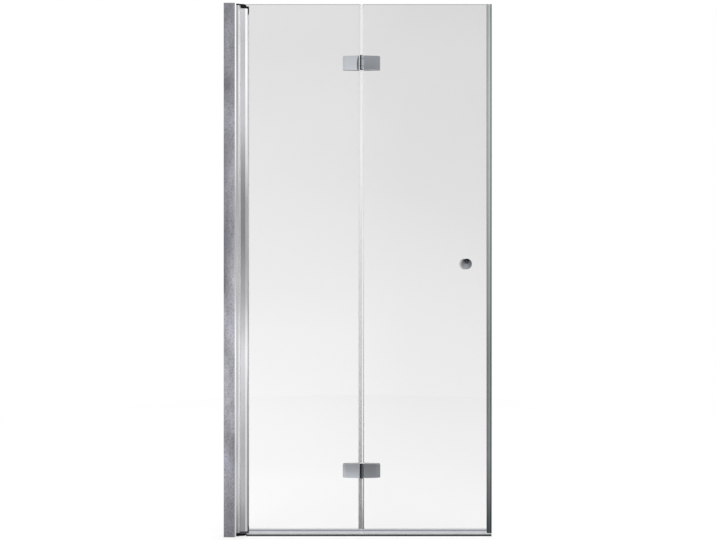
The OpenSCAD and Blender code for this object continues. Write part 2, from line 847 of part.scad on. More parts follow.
// Countersunk screws with a hexagon socket, head on the shower side
module leaf_screws(side) {
    tip = leaf_back - tap_depth + 0.2 - fold_out;
    top = clamp_front + clamp_t - fold_out;
    sink = screw_head_r - screw_r;
    color(metal) for (place = screw_places(side))
        translate([place[0], 0, place[1]]) difference() {
            union() {
                round_y(screw_r, tip, top);
                translate([0, top, 0]) rotate([90, 0, 0]) cylinder(r1 = screw_head_r, r2 = screw_r, h = sink);
            }
            translate([0, top + over, 0]) rotate([90, 0, 0]) cylinder(r = 1.7, h = sink + over, $fn = 6);
        }
}

// Pin with a flat head at both ends
module hinge_pin(z) {
    half = knuckle_row_h / 2 + sleeve_proud;
    color(metal) at_hinge(z) {
        translate([0, 0, -half]) cylinder(r = hinge_pin_r, h = 2 * half);
        for (side = [-1, 1])
            scale([1, 1, side]) translate([0, 0, half]) rotate_extrude() intersection() {
                patch([0, 0], [hinge_head_r, hinge_head_t]);
                translate([0, hinge_head_t - dome_r(hinge_head_r, 0.8)]) circle(dome_r(hinge_head_r, 0.8));
            }
    }
}

// Black bearing sleeve that shows through the slot in the knuckles
module bearing_sleeve(z) {
    half = knuckle_row_h / 2 + sleeve_proud;
    color(black) at_hinge(z) translate([0, 0, -half]) difference() {
        cylinder(r = sleeve_r, h = 2 * half);
        translate([0, 0, -over]) cylinder(r = hinge_pin_r + fit, h = 2 * half + 2 * over);
    }
}

// Thin washers between the end knuckles and the middle knuckle
module thrust_washers() {
    seat = knuckle_row_h / 2 - end_knuckle_h;
    color(black) for (hz = hinge_zs)
        at_hinge(hz) for (z0 = [-seat, seat - washer_t])
            translate([0, 0, z0]) difference() {
                cylinder(r = knuckle_r - 0.2, h = washer_t);
                translate([0, 0, -over]) cylinder(r = sleeve_r + fit, h = washer_t + 2 * over);
            }
}

module upper_fixed_leaf() { fixed_leaf(upper_z); }
module lower_fixed_leaf() { fixed_leaf(lower_z); }
module upper_moving_leaf() { moving_leaf(upper_z); }
module lower_moving_leaf() { moving_leaf(lower_z); }
module upper_fixed_clamp() { clamp_plate(upper_z, -1); }
module lower_fixed_clamp() { clamp_plate(lower_z, -1); }
module upper_moving_clamp() { clamp_plate(upper_z, 1); }
module lower_moving_clamp() { clamp_plate(lower_z, 1); }
module fixed_leaf_gaskets() { leaf_gaskets(-1); }
module moving_leaf_gaskets() { leaf_gaskets(1); }
module fixed_leaf_ferrules() { leaf_ferrules(-1); }
module moving_leaf_ferrules() { leaf_ferrules(1); }
module fixed_leaf_screws() { leaf_screws(-1); }
module moving_leaf_screws() { leaf_screws(1); }
module upper_hinge_pin() { hinge_pin(upper_z); }
module lower_hinge_pin() { hinge_pin(lower_z); }
module upper_bearing_sleeve() { bearing_sleeve(upper_z); }
module lower_bearing_sleeve() { bearing_sleeve(lower_z); }

// ---------- folding pane ----------

module folding_glass() {
    pane(outer_edge, magnet_pane, concat(screw_places(1), [[knob_x, knob_z]]));
}

module outer_fold_seal() {
    color(clear_pvc) for (run = seal_runs())
        upright(run[0], run[1]) {
            translate([outer_edge, 0]) mirror([1, 0]) clip_outline(outer_leg, bridge_t);
            patch([lip_nose, -bulb_r], [outer_edge - bridge_t / 2, bulb_r]);
        }
}

module outer_drip_seal() {
    color(clear_pvc) sideways(fold_x + soft_gap, drip_end) drip_outline();
}

// Closing seal: a clip on the glass and two chambers, the outer one for the magnet
module closing_seal() {
    color(clear_pvc) upright(magnet_lift, glass_high) difference() {
        union() {
            translate([magnet_pane, 0]) clip_outline(magnet_leg, bridge_t);
            rounded_patch([magnet_pane + bridge_t / 2, -magnet_half_d], [right, magnet_half_d], 1);
            patch([magnet_pane, -clip_half], [magnet_pane + bridge_t, clip_half]);
        }
        rounded_patch([magnet_pane + bridge_t, chamber_t - magnet_half_d],
            [strip_left - chamber_t, magnet_half_d - chamber_t], 0.6);
        patch([strip_left - fit, -strip_half - fit], [strip_left + strip_w + fit, strip_half + fit]);
    }
}

strip_left = right - chamber_t - strip_w - fit;
strip_half = magnet_half_d - chamber_t - 0.2;

module magnet_strip() {
    color("#2c3a36") upright(magnet_lift, glass_high)
        patch([strip_left, -strip_half], [strip_left + strip_w, strip_half]);
}

// Half section of a knob: neck, hollow throat and a head whose round edge runs into a dome
module knob_section() {
    reach = knob_r - knob_edge_r;
    dome = dome_r(reach, dome_rise);
    rim = knob_len - dome + sqrt(pow(dome - knob_edge_r, 2) - pow(reach, 2));
    difference() {
        union() {
            square([knob_neck_r, knob_len / 2]);
            patch([0, knob_neck_len], [reach, rim]);
            patch([0, knob_neck_len + knob_edge_r], [knob_r, rim]);
            for (h = [knob_neck_len + knob_edge_r, rim])
                translate([reach, h]) circle(knob_edge_r);
            intersection() {
                translate([0, knob_len - dome]) circle(dome);
                patch([0, rim], [reach * dome / (dome - knob_edge_r), knob_len]);
            }
            difference() {
                patch([0, knob_neck_len - throat_r], [knob_neck_r + throat_r, knob_neck_len]);
                translate([knob_neck_r + throat_r, knob_neck_len - throat_r]) circle(throat_r);
            }
        }
        patch([0, -over], [stud_r + fit, stud_depth + 0.5]);
    }
}

// Knob on one face of the glass; side is -1 on the room side
module knob(side) {
    color(chrome) translate([knob_x, side * knob_base, knob_z]) rotate([-side * 90, 0, 0])
        rotate_extrude() intersection() {
            knob_section();
            patch([0, 0], [knob_r, knob_len]);
        }
}

module outside_knob() { knob(-1); }
module inside_knob() { knob(1); }

module knob_stud() {
    reach = knob_base + stud_depth;
    color(metal) translate([knob_x, 0, knob_z]) round_y(stud_r, -reach, reach);
}

module knob_washers() {
    color("white") translate([knob_x, 0, knob_z]) for (y0 = [-knob_base, glass_t / 2])
        difference() {
            round_y(knob_washer_r, y0, y0 + pad_t);
            round_y(stud_r + fit, y0 - over, y0 + pad_t + over);
        }
}

module knob_ferrule() {
    color("white") translate([knob_x, 0, knob_z]) difference() {
        round_y(glass_hole_r - 2 * fit, fit - glass_t / 2, glass_t / 2 - fit);
        round_y(stud_r + fit, -glass_t, glass_t);
    }
}

wall_profile();
adjusting_profile();
top_filler_cap();
locking_screws();
screw_covers();
barrel_wipers();
top_pivot_block();
bottom_pivot_block();
top_pivot_pin();
bottom_pivot_pin();
threshold_bar();
threshold_end_caps();
pivot_profile();
pivot_top_cap();
pivot_bottom_cap();
top_pivot_bush();
bottom_pivot_bush();
glazing_gasket();
pivot_glass();
inner_fold_seal();
inner_drip_seal();
upper_fixed_leaf();
lower_fixed_leaf();
upper_fixed_clamp();
lower_fixed_clamp();
fixed_leaf_gaskets();
fixed_leaf_ferrules();
fixed_leaf_screws();
upper_hinge_pin();
lower_hinge_pin();
upper_bearing_sleeve();
lower_bearing_sleeve();
thrust_washers();
folding_glass();
outer_fold_seal();
outer_drip_seal();
upper_moving_leaf();
lower_moving_leaf();
upper_moving_clamp();
lower_moving_clamp();
moving_leaf_gaskets();
moving_leaf_ferrules();
moving_leaf_screws();
closing_seal();
magnet_strip();
outside_knob();
inside_knob();
knob_stud();
knob_washers();
knob_ferrule();
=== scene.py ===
"""Looks of a folding shower door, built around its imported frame.

The door is made by sub-assembly: the wall side, the turning panel, the folding panel, the fold
seals, the fold hinges and the knobs. Lengths are in metres. +Z is up, +X runs from the wall to
the closing edge, and -Y faces the room, where the camera stands.
"""

from __future__ import annotations

import logging
import math
from dataclasses import dataclass, field
from enum import Enum
from functools import reduce

import bmesh
import bpy
import numpy as np
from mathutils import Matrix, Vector
from mathutils.geometry import delaunay_2d_cdt

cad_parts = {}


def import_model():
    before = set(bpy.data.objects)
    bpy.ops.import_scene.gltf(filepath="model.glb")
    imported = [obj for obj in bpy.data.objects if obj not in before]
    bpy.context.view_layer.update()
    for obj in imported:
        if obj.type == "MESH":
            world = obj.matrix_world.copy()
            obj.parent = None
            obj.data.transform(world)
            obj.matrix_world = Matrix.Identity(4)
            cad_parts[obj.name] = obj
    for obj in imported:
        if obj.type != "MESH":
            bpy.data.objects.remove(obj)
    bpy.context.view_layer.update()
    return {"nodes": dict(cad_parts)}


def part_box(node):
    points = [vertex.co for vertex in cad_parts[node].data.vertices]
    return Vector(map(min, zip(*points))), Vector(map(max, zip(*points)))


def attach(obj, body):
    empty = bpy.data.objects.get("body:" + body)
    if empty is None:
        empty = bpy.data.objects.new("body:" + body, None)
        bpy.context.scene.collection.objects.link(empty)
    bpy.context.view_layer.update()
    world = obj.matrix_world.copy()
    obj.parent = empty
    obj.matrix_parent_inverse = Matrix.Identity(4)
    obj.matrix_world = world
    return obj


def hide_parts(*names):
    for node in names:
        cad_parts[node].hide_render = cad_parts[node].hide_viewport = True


LOG = logging.getLogger("shower_door")
MM = 0.001
DOOR_HEIGHT = 1.95
SHARP_ANGLE = math.radians(35.0)  # above which an edge is shaded sharp
EASED_ANGLE = math.radians(32.0)  # above which an edge of a copy is rounded over
LEVEL_ANGLE = math.radians(0.5)  # below which two facets of a copy become one
MERGED = 0.001 * MM  # distance within which points of a copy become one
CORNER_SHARE = 0.49  # share of an edge that a rounded corner may take
LEAST_COSINE = 0.35  # limits how far a point moves at a sharp corner
COOL = 1.02  # how much bluer than grey a board is
SOFT = 0.3 * MM  # half the width over which a finish changes at a line
FLAT = 1e-12  # cross product, in square metres, below which a corner is straight
SLIVER = 1e-14  # the same for a triangle that is left out
NEAR = 1e-5  # distance, in millimetres, within which two points are one
WHITE = (1.0, 1.0, 1.0, 1.0)

Loop = np.ndarray
Point = tuple[float, float]
Tone = tuple[float, float, float]
Greys = tuple[Point, ...]
Stops = tuple[tuple[float, Tone], ...]
Piece = bpy.types.Object
Material = bpy.types.Material
Socket = bpy.types.NodeSocket

NODES: dict[str, Piece] = {}


class Body(Enum):
    """The three bodies that the door's pieces ride on."""

    WALL = "wall_frame"
    TURNING = "turning_panel"
    FOLDING = "folding_panel"


class Lay(Enum):
    """How an outline lies and which way it is carried."""

    PLAN = "outline in x and y, carried up z"
    FRONT = "outline in x and z, carried along y"
    SIDE = "outline in y and z, carried along x"


class Level(Enum):
    """The two heights at which the panels are hinged together."""

    UPPER = "upper"
    LOWER = "lower"


# ---------------------------------------------------------------- outlines and surfaces


def cross(a: np.ndarray, b: np.ndarray) -> np.ndarray:
    """Cross products of rows in a plane: ax times by, less ay times bx."""
    return a[:, 0] * b[:, 1] - a[:, 1] * b[:, 0]


def lengths(rows: np.ndarray) -> np.ndarray:
    """The length of each row, as a column."""
    return np.linalg.norm(rows, axis=1, keepdims=True)


def edges_at(loop: Loop) -> tuple[np.ndarray, np.ndarray]:
    """The steps from each point of a loop to the point before it and to the one after it."""
    return np.roll(loop, 1, axis=0) - loop, np.roll(loop, -1, axis=0) - loop


def signed_area(loop: Loop) -> float:
    """Half the sum of the cross products of neighbouring points, above 0 when anticlockwise."""
    return 0.5 * float(np.sum(cross(loop, np.roll(loop, -1, axis=0))))


def arc(centre: Point, radius: float, start: float, end: float, steps: int) -> Loop:
    """Points at the centre plus radius times the cosine and sine of evenly spread degrees."""
    angle = np.radians(np.linspace(start, end, steps))
    return np.array(centre) + radius * np.stack([np.cos(angle), np.sin(angle)], axis=1)


def ring(centre: Point, radius: float, steps: int) -> Loop:
    """A whole circle as a closed loop whose last point isn't repeated."""
    return arc(centre, radius, 0.0, 360.0 * (1.0 - 1.0 / steps), steps)


def rectangle(x0: float, y0: float, x1: float, y1: float) -> list[Point]:
    """The four corners of a rectangle, anticlockwise."""
    return [(x0, y0), (x1, y0), (x1, y1), (x0, y1)]


def rounded(corners: Loop | list[Point], radius: float, steps: int = 5) -> Loop:
    """Rounds every corner of a polygon.

    At each corner the arc's centre lies on the bisector, radius over the sine of half the corner's
    angle away, and the arc runs between the feet of the perpendiculars from it to both edges.
    Corners on a straight line are left out first.

    Args:
        corners: The polygon's corners in order.
        radius: Radius of the corners, cut down where an edge is too short for it.
        steps: Points on each arc.

    Returns:
        The rounded outline as one closed loop.
    """
    point = np.array(corners, float)
    point = point[np.abs(cross(*edges_at(point))) > FLAT]
    before, after = edges_at(point)
    u, v = before / lengths(before), after / lengths(after)
    half = np.arccos(np.clip(np.sum(u * v, axis=1, keepdims=True), -1.0, 1.0)) / 2.0
    shorter = np.minimum(lengths(before), lengths(after))
    reach = np.minimum(radius / np.tan(half), CORNER_SHARE * shorter)
    size = reach * np.tan(half)
    centre = point + (u + v) / lengths(u + v) * size / np.sin(half)
    first, last = point + u * reach - centre, point + v * reach - centre
    start, end = (np.arctan2(foot[:, 1:], foot[:, :1]) for foot in (first, last))
    sweep = (end - start + np.pi) % (2 * np.pi) - np.pi
    angle = start + sweep * np.linspace(0.0, 1.0, steps)
    spread = np.stack([np.cos(angle), np.sin(angle)], axis=2) * size[:, :, None]
    return (centre[:, None, :] + spread).reshape(-1, 2)


def inset(loop: Loop, distance: float) -> Loop:
    """Moves every point of a loop into the metal on its left.

    The move is along the mean of the two edge normals, lengthened so that both edges shift by the
    full distance.

    Args:
        loop: An anticlockwise loop, or a clockwise one for a hole.
        distance: How far its edges move.

    Returns:
        The moved loop.
    """
    edge = edges_at(loop)[1]
    edge = edge / lengths(edge)
    normal = np.stack([-edge[:, 1], edge[:, 0]], axis=1)
    mean = normal + np.roll(normal, 1, axis=0)
    mean = mean / lengths(mean)
    stretch = np.clip(np.sum(mean * normal, axis=1, keepdims=True), LEAST_COSINE, 1.0)
    return loop + mean * distance / stretch


def filled(loops: list[Loop]) -> np.ndarray:
    """Triangles that fill the space between an outer loop and its holes.

    They are the Delaunay triangles that keep every edge of the loops, less those whose middle
    crosses an even number of edges on its way out along +x.

    Args:
        loops: The outer loop first, then the loops of any holes.

    Returns:
        Rows of three indices into the loops' points, put end to end, all anticlockwise.
    """
    points = np.concatenate(loops)
    starts = np.cumsum([0] + [len(loop) for loop in loops])
    following = np.concatenate([np.roll(np.arange(i, j), -1) for i, j in zip(starts, starts[1:])])
    edges = list(enumerate(following.tolist()))
    corners, _, faces, *_ = delaunay_2d_cdt((points / MM).tolist(), edges, [], 0, NEAR)
    away = np.linalg.norm(np.array(corners)[:, None, :] * MM - points[None, :, :], axis=2)
    triangles = np.argmin(away, axis=1)[np.array(faces, int)]
    x, y = points[triangles].mean(axis=1).T[:, :, None]
    (ax, ay), (bx, by) = points.T, points[following].T
    rise = np.where(ay == by, 1.0, by - ay)
    crossed = ((ay > y) != (by > y)) & (ax + (y - ay) * (bx - ax) / rise > x)
    triangles = triangles[np.sum(crossed, axis=1) % 2 == 1]
    a, b, c = points[triangles].transpose(1, 0, 2)
    turn = cross(b - a, c - a)
    triangles[turn < 0] = triangles[turn < 0][:, ::-1]
    return triangles[np.abs(turn) > SLIVER]


def placed(flat: Loop, height: float, lay: Lay) -> np.ndarray:
    """Turns outline points at one height into points in space, as the lay says."""
    order = {Lay.PLAN: [0, 1, 2], Lay.FRONT: [0, 2, 1], Lay.SIDE: [2, 0, 1]}[lay]
    return np.column_stack([flat, np.full(len(flat), height)])[:, order]


def woven(index: np.ndarray) -> np.ndarray:
    """Quads between neighbouring rows of point indices, closed from each row's end to its start."""
    right = np.roll(index, -1, axis=1)
    return np.stack([index[:-1], right[:-1], right[1:], index[1:]], axis=2).reshape(-1, 4)


@dataclass
class Shell:
    """A growing set of points and faces that becomes one mesh."""

    points: list[np.ndarray] = field(default_factory=list)
    faces: list[list[int]] = field(default_factory=list)

    def add(self, points: np.ndarray) -> np.ndarray:
        """Adds points and returns their indices."""
        self.points.append(points)
        return np.arange(len(points)) + sum(len(some) for some in self.points[:-1])

    def prism(self, loops: list[Loop], low: float, high: float, ease: float, lay: Lay) -> None:
        """Carries an outline from low to high, with its end edges rounded over.

        A level lies ease times one minus the cosine of its angle above the end, and is drawn in by
        ease times one minus the sine, for angles from 0 to 90 degrees, and the same at the other
        end. The ends are closed by triangles.

        Args:
            loops: The outer loop first, then the loops of any holes.
            low: Where the outline starts.
            high: Where it ends.
            ease: Radius of the rounded end edges.
            lay: How the outline lies.
        """
        turned = [s if (signed_area(s) > 0) == (i == 0) else s[::-1] for i, s in enumerate(loops)]
        angle = np.radians([0.0, 45.0, 90.0] if ease > 0 else [90.0])
        drawn, risen = ease * (1.0 - np.sin(angle)), ease * (1.0 - np.cos(angle))
        levels = list(zip([*drawn, *drawn[::-1]], [*(low + risen), *(high - risen[::-1])]))
        outwards = -1 if lay is Lay.FRONT else 1
        ends: list[list[np.ndarray]] = [[], []]
        for loop in turned:
            points = np.concatenate([placed(inset(loop, into), at, lay) for into, at in levels])
            index = self.add(points).reshape(len(levels), -1)
            self.faces += woven(index)[:, ::outwards].tolist()
            ends[0].append(index[0])
            ends[1].append(index[-1])
        triangles = filled([inset(loop, drawn[0]) for loop in turned])
        for end, way in zip(ends, (-outwards, outwards)):
            self.faces += np.concatenate(end)[triangles[:, ::way]].tolist()

    def revolve(self, profile: Loop, centre: Tone, facing: int, steps: int = 96) -> None:
        """Turns a profile round an axis along y.

        A point of the profile at radius r and distance d lands at r times the cosine and sine of
        the turn in x and z, and at facing times d in y. Both ends of the profile lie on the axis.

        Args:
            profile: Rows of radius and distance, from the axis out and back to the axis.
            centre: The point that distance 0 stands for.
            facing: 1 for a shape that grows along +y and -1 for one that grows along -y.
            steps: Number of steps round the axis.
        """
        turn = np.linspace(0.0, 2.0 * np.pi, steps, endpoint=False)
        radius, away = profile[1:-1].T[:, :, None]
        grid = np.broadcast_arrays(radius * np.cos(turn), facing * away, radius * np.sin(turn))
        index = self.add(np.stack(grid, axis=2).reshape(-1, 3) + np.array(centre)).reshape(-1, steps)
        ends = profile[[0, -1], 1] * facing
        poles = self.add(np.array(centre) + np.stack([0 * ends, ends, 0 * ends], axis=1))
        self.faces += woven(index)[:, ::-facing].tolist()
        for pole, row in ((poles[0], index[0]), (poles[1], index[-1][::-1])):
            fan = np.stack([np.full(steps, pole), row, np.roll(row, -1)], axis=1)
            self.faces += fan[:, ::facing].tolist()

    def mesh(self, name: str) -> Piece:
        """Makes the object, smooth except at sharp edges.

        Args:
            name: Name of the object.

        Returns:
            The object.
        """
        data = bpy.data.meshes.new(name)
        data.from_pydata(np.concatenate(self.points).tolist(), [], self.faces)
        data.validate()
        return smooth(linked(name, data))


def linked(name: str, data: bpy.types.ID) -> Piece:
    """Puts an object with that name and data into the scene.

    Args:
        name: Name of the object.
        data: Its mesh, lamp or camera.

    Returns:
        The object.
    """
    made = bpy.data.objects.new(name, data)
    bpy.context.scene.collection.objects.link(made)
    return made


def smooth(piece: Piece) -> Piece:
    """Shades a piece smooth between its sharp edges, with normals weighted by the faces' size.

    Args:
        piece: A mesh object.

    Returns:
        The same piece.
    """
    piece.data.polygons.foreach_set("use_smooth", np.ones(len(piece.data.polygons), bool))
    piece.data.set_sharp_from_angle(angle=SHARP_ANGLE)
    weighted = piece.modifiers.new("weighted_normals", "WEIGHTED_NORMAL")
    weighted.keep_sharp = True
    piece.data.update()
    return piece


def eased_copy(node: str, name: str, width: float) -> Piece:
    """A copy of a frame node whose sharp edges are rounded over.

    Args:
        node: The node to copy.
        name: Name of the new piece.
        width: Width of the rounded edge.

    Returns:
        The new piece, at the origin.
    """
    work = bmesh.new()
    work.from_mesh(NODES[node].data)
    bmesh.ops.remove_doubles(work, verts=work.verts, dist=MERGED)
    bmesh.ops.dissolve_limit(work, angle_limit=LEVEL_ANGLE, verts=work.verts, edges=work.edges)
    bmesh.ops.recalc_face_normals(work, faces=work.faces)
    data = bpy.data.meshes.new(name)
    work.to_mesh(data)
    work.free()
    piece = linked(name, data)
    bevel = piece.modifiers.new("eased_edges", "BEVEL")
    bevel.width = width
    bevel.segments = 2
    bevel.limit_method = "ANGLE"
    bevel.angle_limit = EASED_ANGLE
    return smooth(piece)


@dataclass(frozen=True)
class Box:
    """The space that a frame node fills."""

    x0: float
    y0: float
    z0: float
    x1: float
    y1: float
    z1: float

    @classmethod
    def of(cls, node: str) -> Box:
        """Reads a node's box from the frame."""
        return cls(*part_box(node)[0], *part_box(node)[1])

    def middle(self) -> Point:
        """The middle of the box in x and z."""
        return (self.x0 + self.x1) / 2, (self.z0 + self.z1) / 2


# ---------------------------------------------------------------- finishes


def greys(stops: Greys, blue: float = 1.0) -> Stops:
    """Turns places and greys into places and colours, with the blue raised by a factor."""
    return tuple((place, (grey, grey, blue * grey)) for place, grey in stops)


def dimmed(tone: Tone, share: float) -> Tone:
    """A share of a tone."""
    return tuple(share * part for part in tone)


class Sheet:
    """The node tree of a material or of the world, with short calls to add and join nodes."""

    def __init__(self, name: str, world: bool = False) -> None:
        """Makes an empty material or world with an output.

        Args:
            name: Its name.
            world: True for a world.
        """
        self.owner = (bpy.data.worlds if world else bpy.data.materials).new(name)
        self.owner.use_nodes = True
        self.tree = self.owner.node_tree
        self.tree.nodes.clear()
        self.output = self.tree.nodes.new("ShaderNodeOutput" + ("World" if world else "Material"))

    def add(
        self, kind: str, feeds: dict[str | int, object], output: str | int = 0, **settings: object
    ) -> Socket:
        """Adds a node.

        Args:
            kind: The node's type, without its ShaderNode prefix.
            feeds: By name or number of an input, the value or the output that it takes.
            output: Name or number of the output that is wanted.
            **settings: Attributes of the node.

        Returns:
            The wanted output.
        """
        made = self.tree.nodes.new("ShaderNode" + kind)
        for key, value in settings.items():
            setattr(made, key, value)
        for key, value in feeds.items():
            if isinstance(value, Socket):
                self.tree.links.new(value, made.inputs[key])
            else:
                made.inputs[key].default_value = value
        return made.outputs[output]

    def place(self, stretch: Tone = (1.0, 1.0, 1.0)) -> Socket:
        """Object coordinates, stretched along each axis."""
        return self.add("Mapping", {"Vector": self.add("TexCoord", {}, "Object"), "Scale": stretch})

    def axis(self, name: str) -> Socket:
        """The X, Y or Z of Object coordinates."""
        return self.add("SeparateXYZ", {"Vector": self.place()}, name)

    def noise(self, scale: float, detail: float = 3.0, stretch: Tone = (1.0, 1.0, 1.0)) -> Socket:
        """A noise value between 0 and 1 on stretched Object coordinates."""
        feeds = {"Vector": self.place(stretch), "Scale": scale, "Detail": detail, "Roughness": 0.6}
        return self.add("TexNoise", feeds, "Fac")

    def ramp(self, value: Socket, stops: Stops) -> Socket:
        """A colour ramp.

        Args:
            value: What runs along the ramp.
            stops: Positions and colours, two or more.

        Returns:
            The colour.
        """
        colour = self.add("ValToRGB", {"Fac": value}, "Color")
        elements = colour.node.color_ramp.elements
        for _ in stops[2:]:
            elements.new(0.5)
        for element, (position, tone) in zip(elements, stops):
            element.position = position
            element.color = (*tone, 1.0)
        return colour

    def grey_ramp(self, value: Socket, stops: Greys, blue: float = 1.0) -> Socket:
        """A ramp over stops of position and grey."""
        return self.ramp(value, greys(stops, blue))

    def mottle(self, texture: Socket, low: Tone, high: Tone) -> Socket:
        """A colour that wanders between two tones with a noise."""
        return self.ramp(texture, ((0.3, low), (0.7, high)))

    def spread(self, value: Socket, low: float, high: float) -> Socket:
        """Maps a value from 0 to 1 onto low to high."""
        return self.add("MapRange", {"Value": value, "To Min": low, "To Max": high})

    def share(self, value: Socket, low: float, high: float) -> Socket:
        """Maps a value from low to high onto 0 to 1."""
        return self.add("MapRange", {"Value": value, "From Min": low, "From Max": high})

    def height(self) -> Socket:
        """How far up the door a place is, from 0 to 1."""
        return self.share(self.axis("Z"), 0.0, DOOR_HEIGHT)

    def step(self, value: Socket, place: float, soft: float = SOFT) -> Socket:
        """0 below a place and 1 above it, or the reverse where the softness is below 0."""
        return self.share(value, place - soft, place + soft)

    def math(self, operation: str, *values: Socket | float) -> Socket:
        """The result of a Math node."""
        return self.add("Math", dict(enumerate(values)), operation=operation)

    def multiply(self, *colours: Socket) -> Socket:
        """The product of colours."""
        kind = {"data_type": "RGBA", "blend_type": "MULTIPLY"}
        return reduce(lambda a, b: self.add("Mix", {"Factor": 1.0, 6: a, 7: b}, 2, **kind), colours)

    def blend(self, a: Socket | tuple, b: Socket | tuple, share: Socket) -> Socket:
        """Colour a where the share is 0 and colour b where it is 1."""
        return self.add("Mix", {"Factor": share, 6: a, 7: b}, 2, data_type="RGBA")

    def bump(self, height: Socket, depth: float) -> Socket:
        """A normal from a height, with the depth in metres."""
        return self.add("Bump", {"Height": height, "Strength": 1.0, "Distance": depth})

    def principled(self, **feeds: object) -> Socket:
        """The Principled shader; underscores in the names of its inputs stand for spaces."""
        return self.add("BsdfPrincipled", {key.replace("_", " "): value for key, value in feeds.items()})

    def glow(self, colour: Socket | tuple, strength: Socket | float = 1.0) -> Socket:
        """An Emission shader."""
        return self.add("Emission", {"Color": colour, "Strength": strength})

    def either(self, share: Socket, a: Socket, b: Socket) -> Socket:
        """Shader a where the share is 0 and shader b where it is 1."""
        return self.add("MixShader", {"Fac": share, 1: a, 2: b})

    def rays(self, *kinds: str) -> Socket:
        """1 for a ray of any of the kinds, which are outputs of Light Path, and 0 for others."""
        found = self.add("LightPath", {}, kinds[0])
        return self.math("MAXIMUM", found, self.rays(*kinds[1:])) if kinds[1:] else found

    def finish(self, shader: Socket) -> Material:
        """Joins the shader to the output and returns the material or world."""
        self.tree.links.new(shader, self.output.inputs["Surface"])
        return self.owner


@dataclass(frozen=True)
class Polished:
    """Polished metal: a mirror with faint wipe marks in its gloss and a slow change of tone."""

    name: str
    tone: Tone
    gloss: float
    marks: float

    def material(self) -> Material:
        """Builds the material.

        Returns:
            The material.
        """
        sheet = Sheet(self.name)
        own = sheet.mottle(sheet.noise(9.0, 2.0), dimmed(self.tone, 0.93), self.tone)
        wiped = sheet.noise(60.0, 4.0, (1.0, 1.0, 0.25))
        metal = sheet.principled(
            Metallic=1.0,
            Base_Color=sheet.multiply(own, *self.shades(sheet)),
            Roughness=sheet.spread(wiped, self.gloss, self.gloss + self.marks),
            Normal=sheet.bump(sheet.noise(25.0, 1.0), 0.04 * MM),
        )
        return sheet.finish(metal)

    def shades(self, sheet: Sheet) -> list[Socket]:
        """The colours that the metal's own is multiplied by, none here."""
        return []


@dataclass(frozen=True)
class PaintedReflectionBands(Polished):
    """A polished profile with painted reflections and shade as greys up the door: a face to one x, plain
    metal, a rim from another.
    """

    face_until: float
    face: Greys
    rim_from: float = 0.0
    rim: Greys = ((0.0, 1.0), (1.0, 1.0))

    def shades(self, sheet: Sheet) -> list[Socket]:
        """The greys of painted reflection and shade on the face, then white, then the greys of the rim.

        Args:
            sheet: The material's node tree.

        Returns:
            The one colour.
        """
        x, up = sheet.axis("X"), sheet.height()
        body = sheet.blend(sheet.grey_ramp(up, self.face), WHITE, sheet.step(x, self.face_until))
        return [sheet.blend(body, sheet.grey_ramp(up, self.rim), sheet.step(x, self.rim_from))]


@dataclass(frozen=True)
class PaintedReflectionChrome(Polished):
    """Chrome plate with painted reflection and shade beside the knuckles: a dark band and a dark crescent.

    The painted band lies between two x. The painted crescent lies inside a large circle and left of an edge,
    and is left out where the circle's radius is 0.
    """

    painted_band: Point
    painted_band_grey: float
    middle: Tone = (0.0, 0.0, 0.0)
    radius: float = 0.0
    edge: float = 0.0
    painted_crescent_grey: float = 0.3
    soft: float = 0.5 * MM

    def shades(self, sheet: Sheet) -> list[Socket]:
        """The painted band, and the painted crescent if there is one.

        Args:
            sheet: The material's node tree.

        Returns:
            Their colours.
        """
        x = sheet.axis("X")
        left, right = (sheet.step(x, at, soft) for at, soft in zip(self.painted_band, (-self.soft, self.soft)))
        found = [self._shade(sheet, left, right, self.painted_band_grey)]
        if self.radius > 0:
            feeds = {0: sheet.place((1.0, 0.0, 1.0)), 1: self.middle}
            away = sheet.add("VectorMath", feeds, "Value", operation="DISTANCE")
            outside, beyond = sheet.step(away, self.radius, self.soft), sheet.step(x, self.edge, self.soft)
            found.append(self._shade(sheet, outside, beyond, self.painted_crescent_grey))
        return found

    def _shade(self, sheet: Sheet, a: Socket, b: Socket, grey: float) -> Socket:
        """White where either value is 1, and grey where both are 0."""
        return sheet.grey_ramp(sheet.math("MAXIMUM", a, b), ((0.0, grey), (1.0, 1.0)))


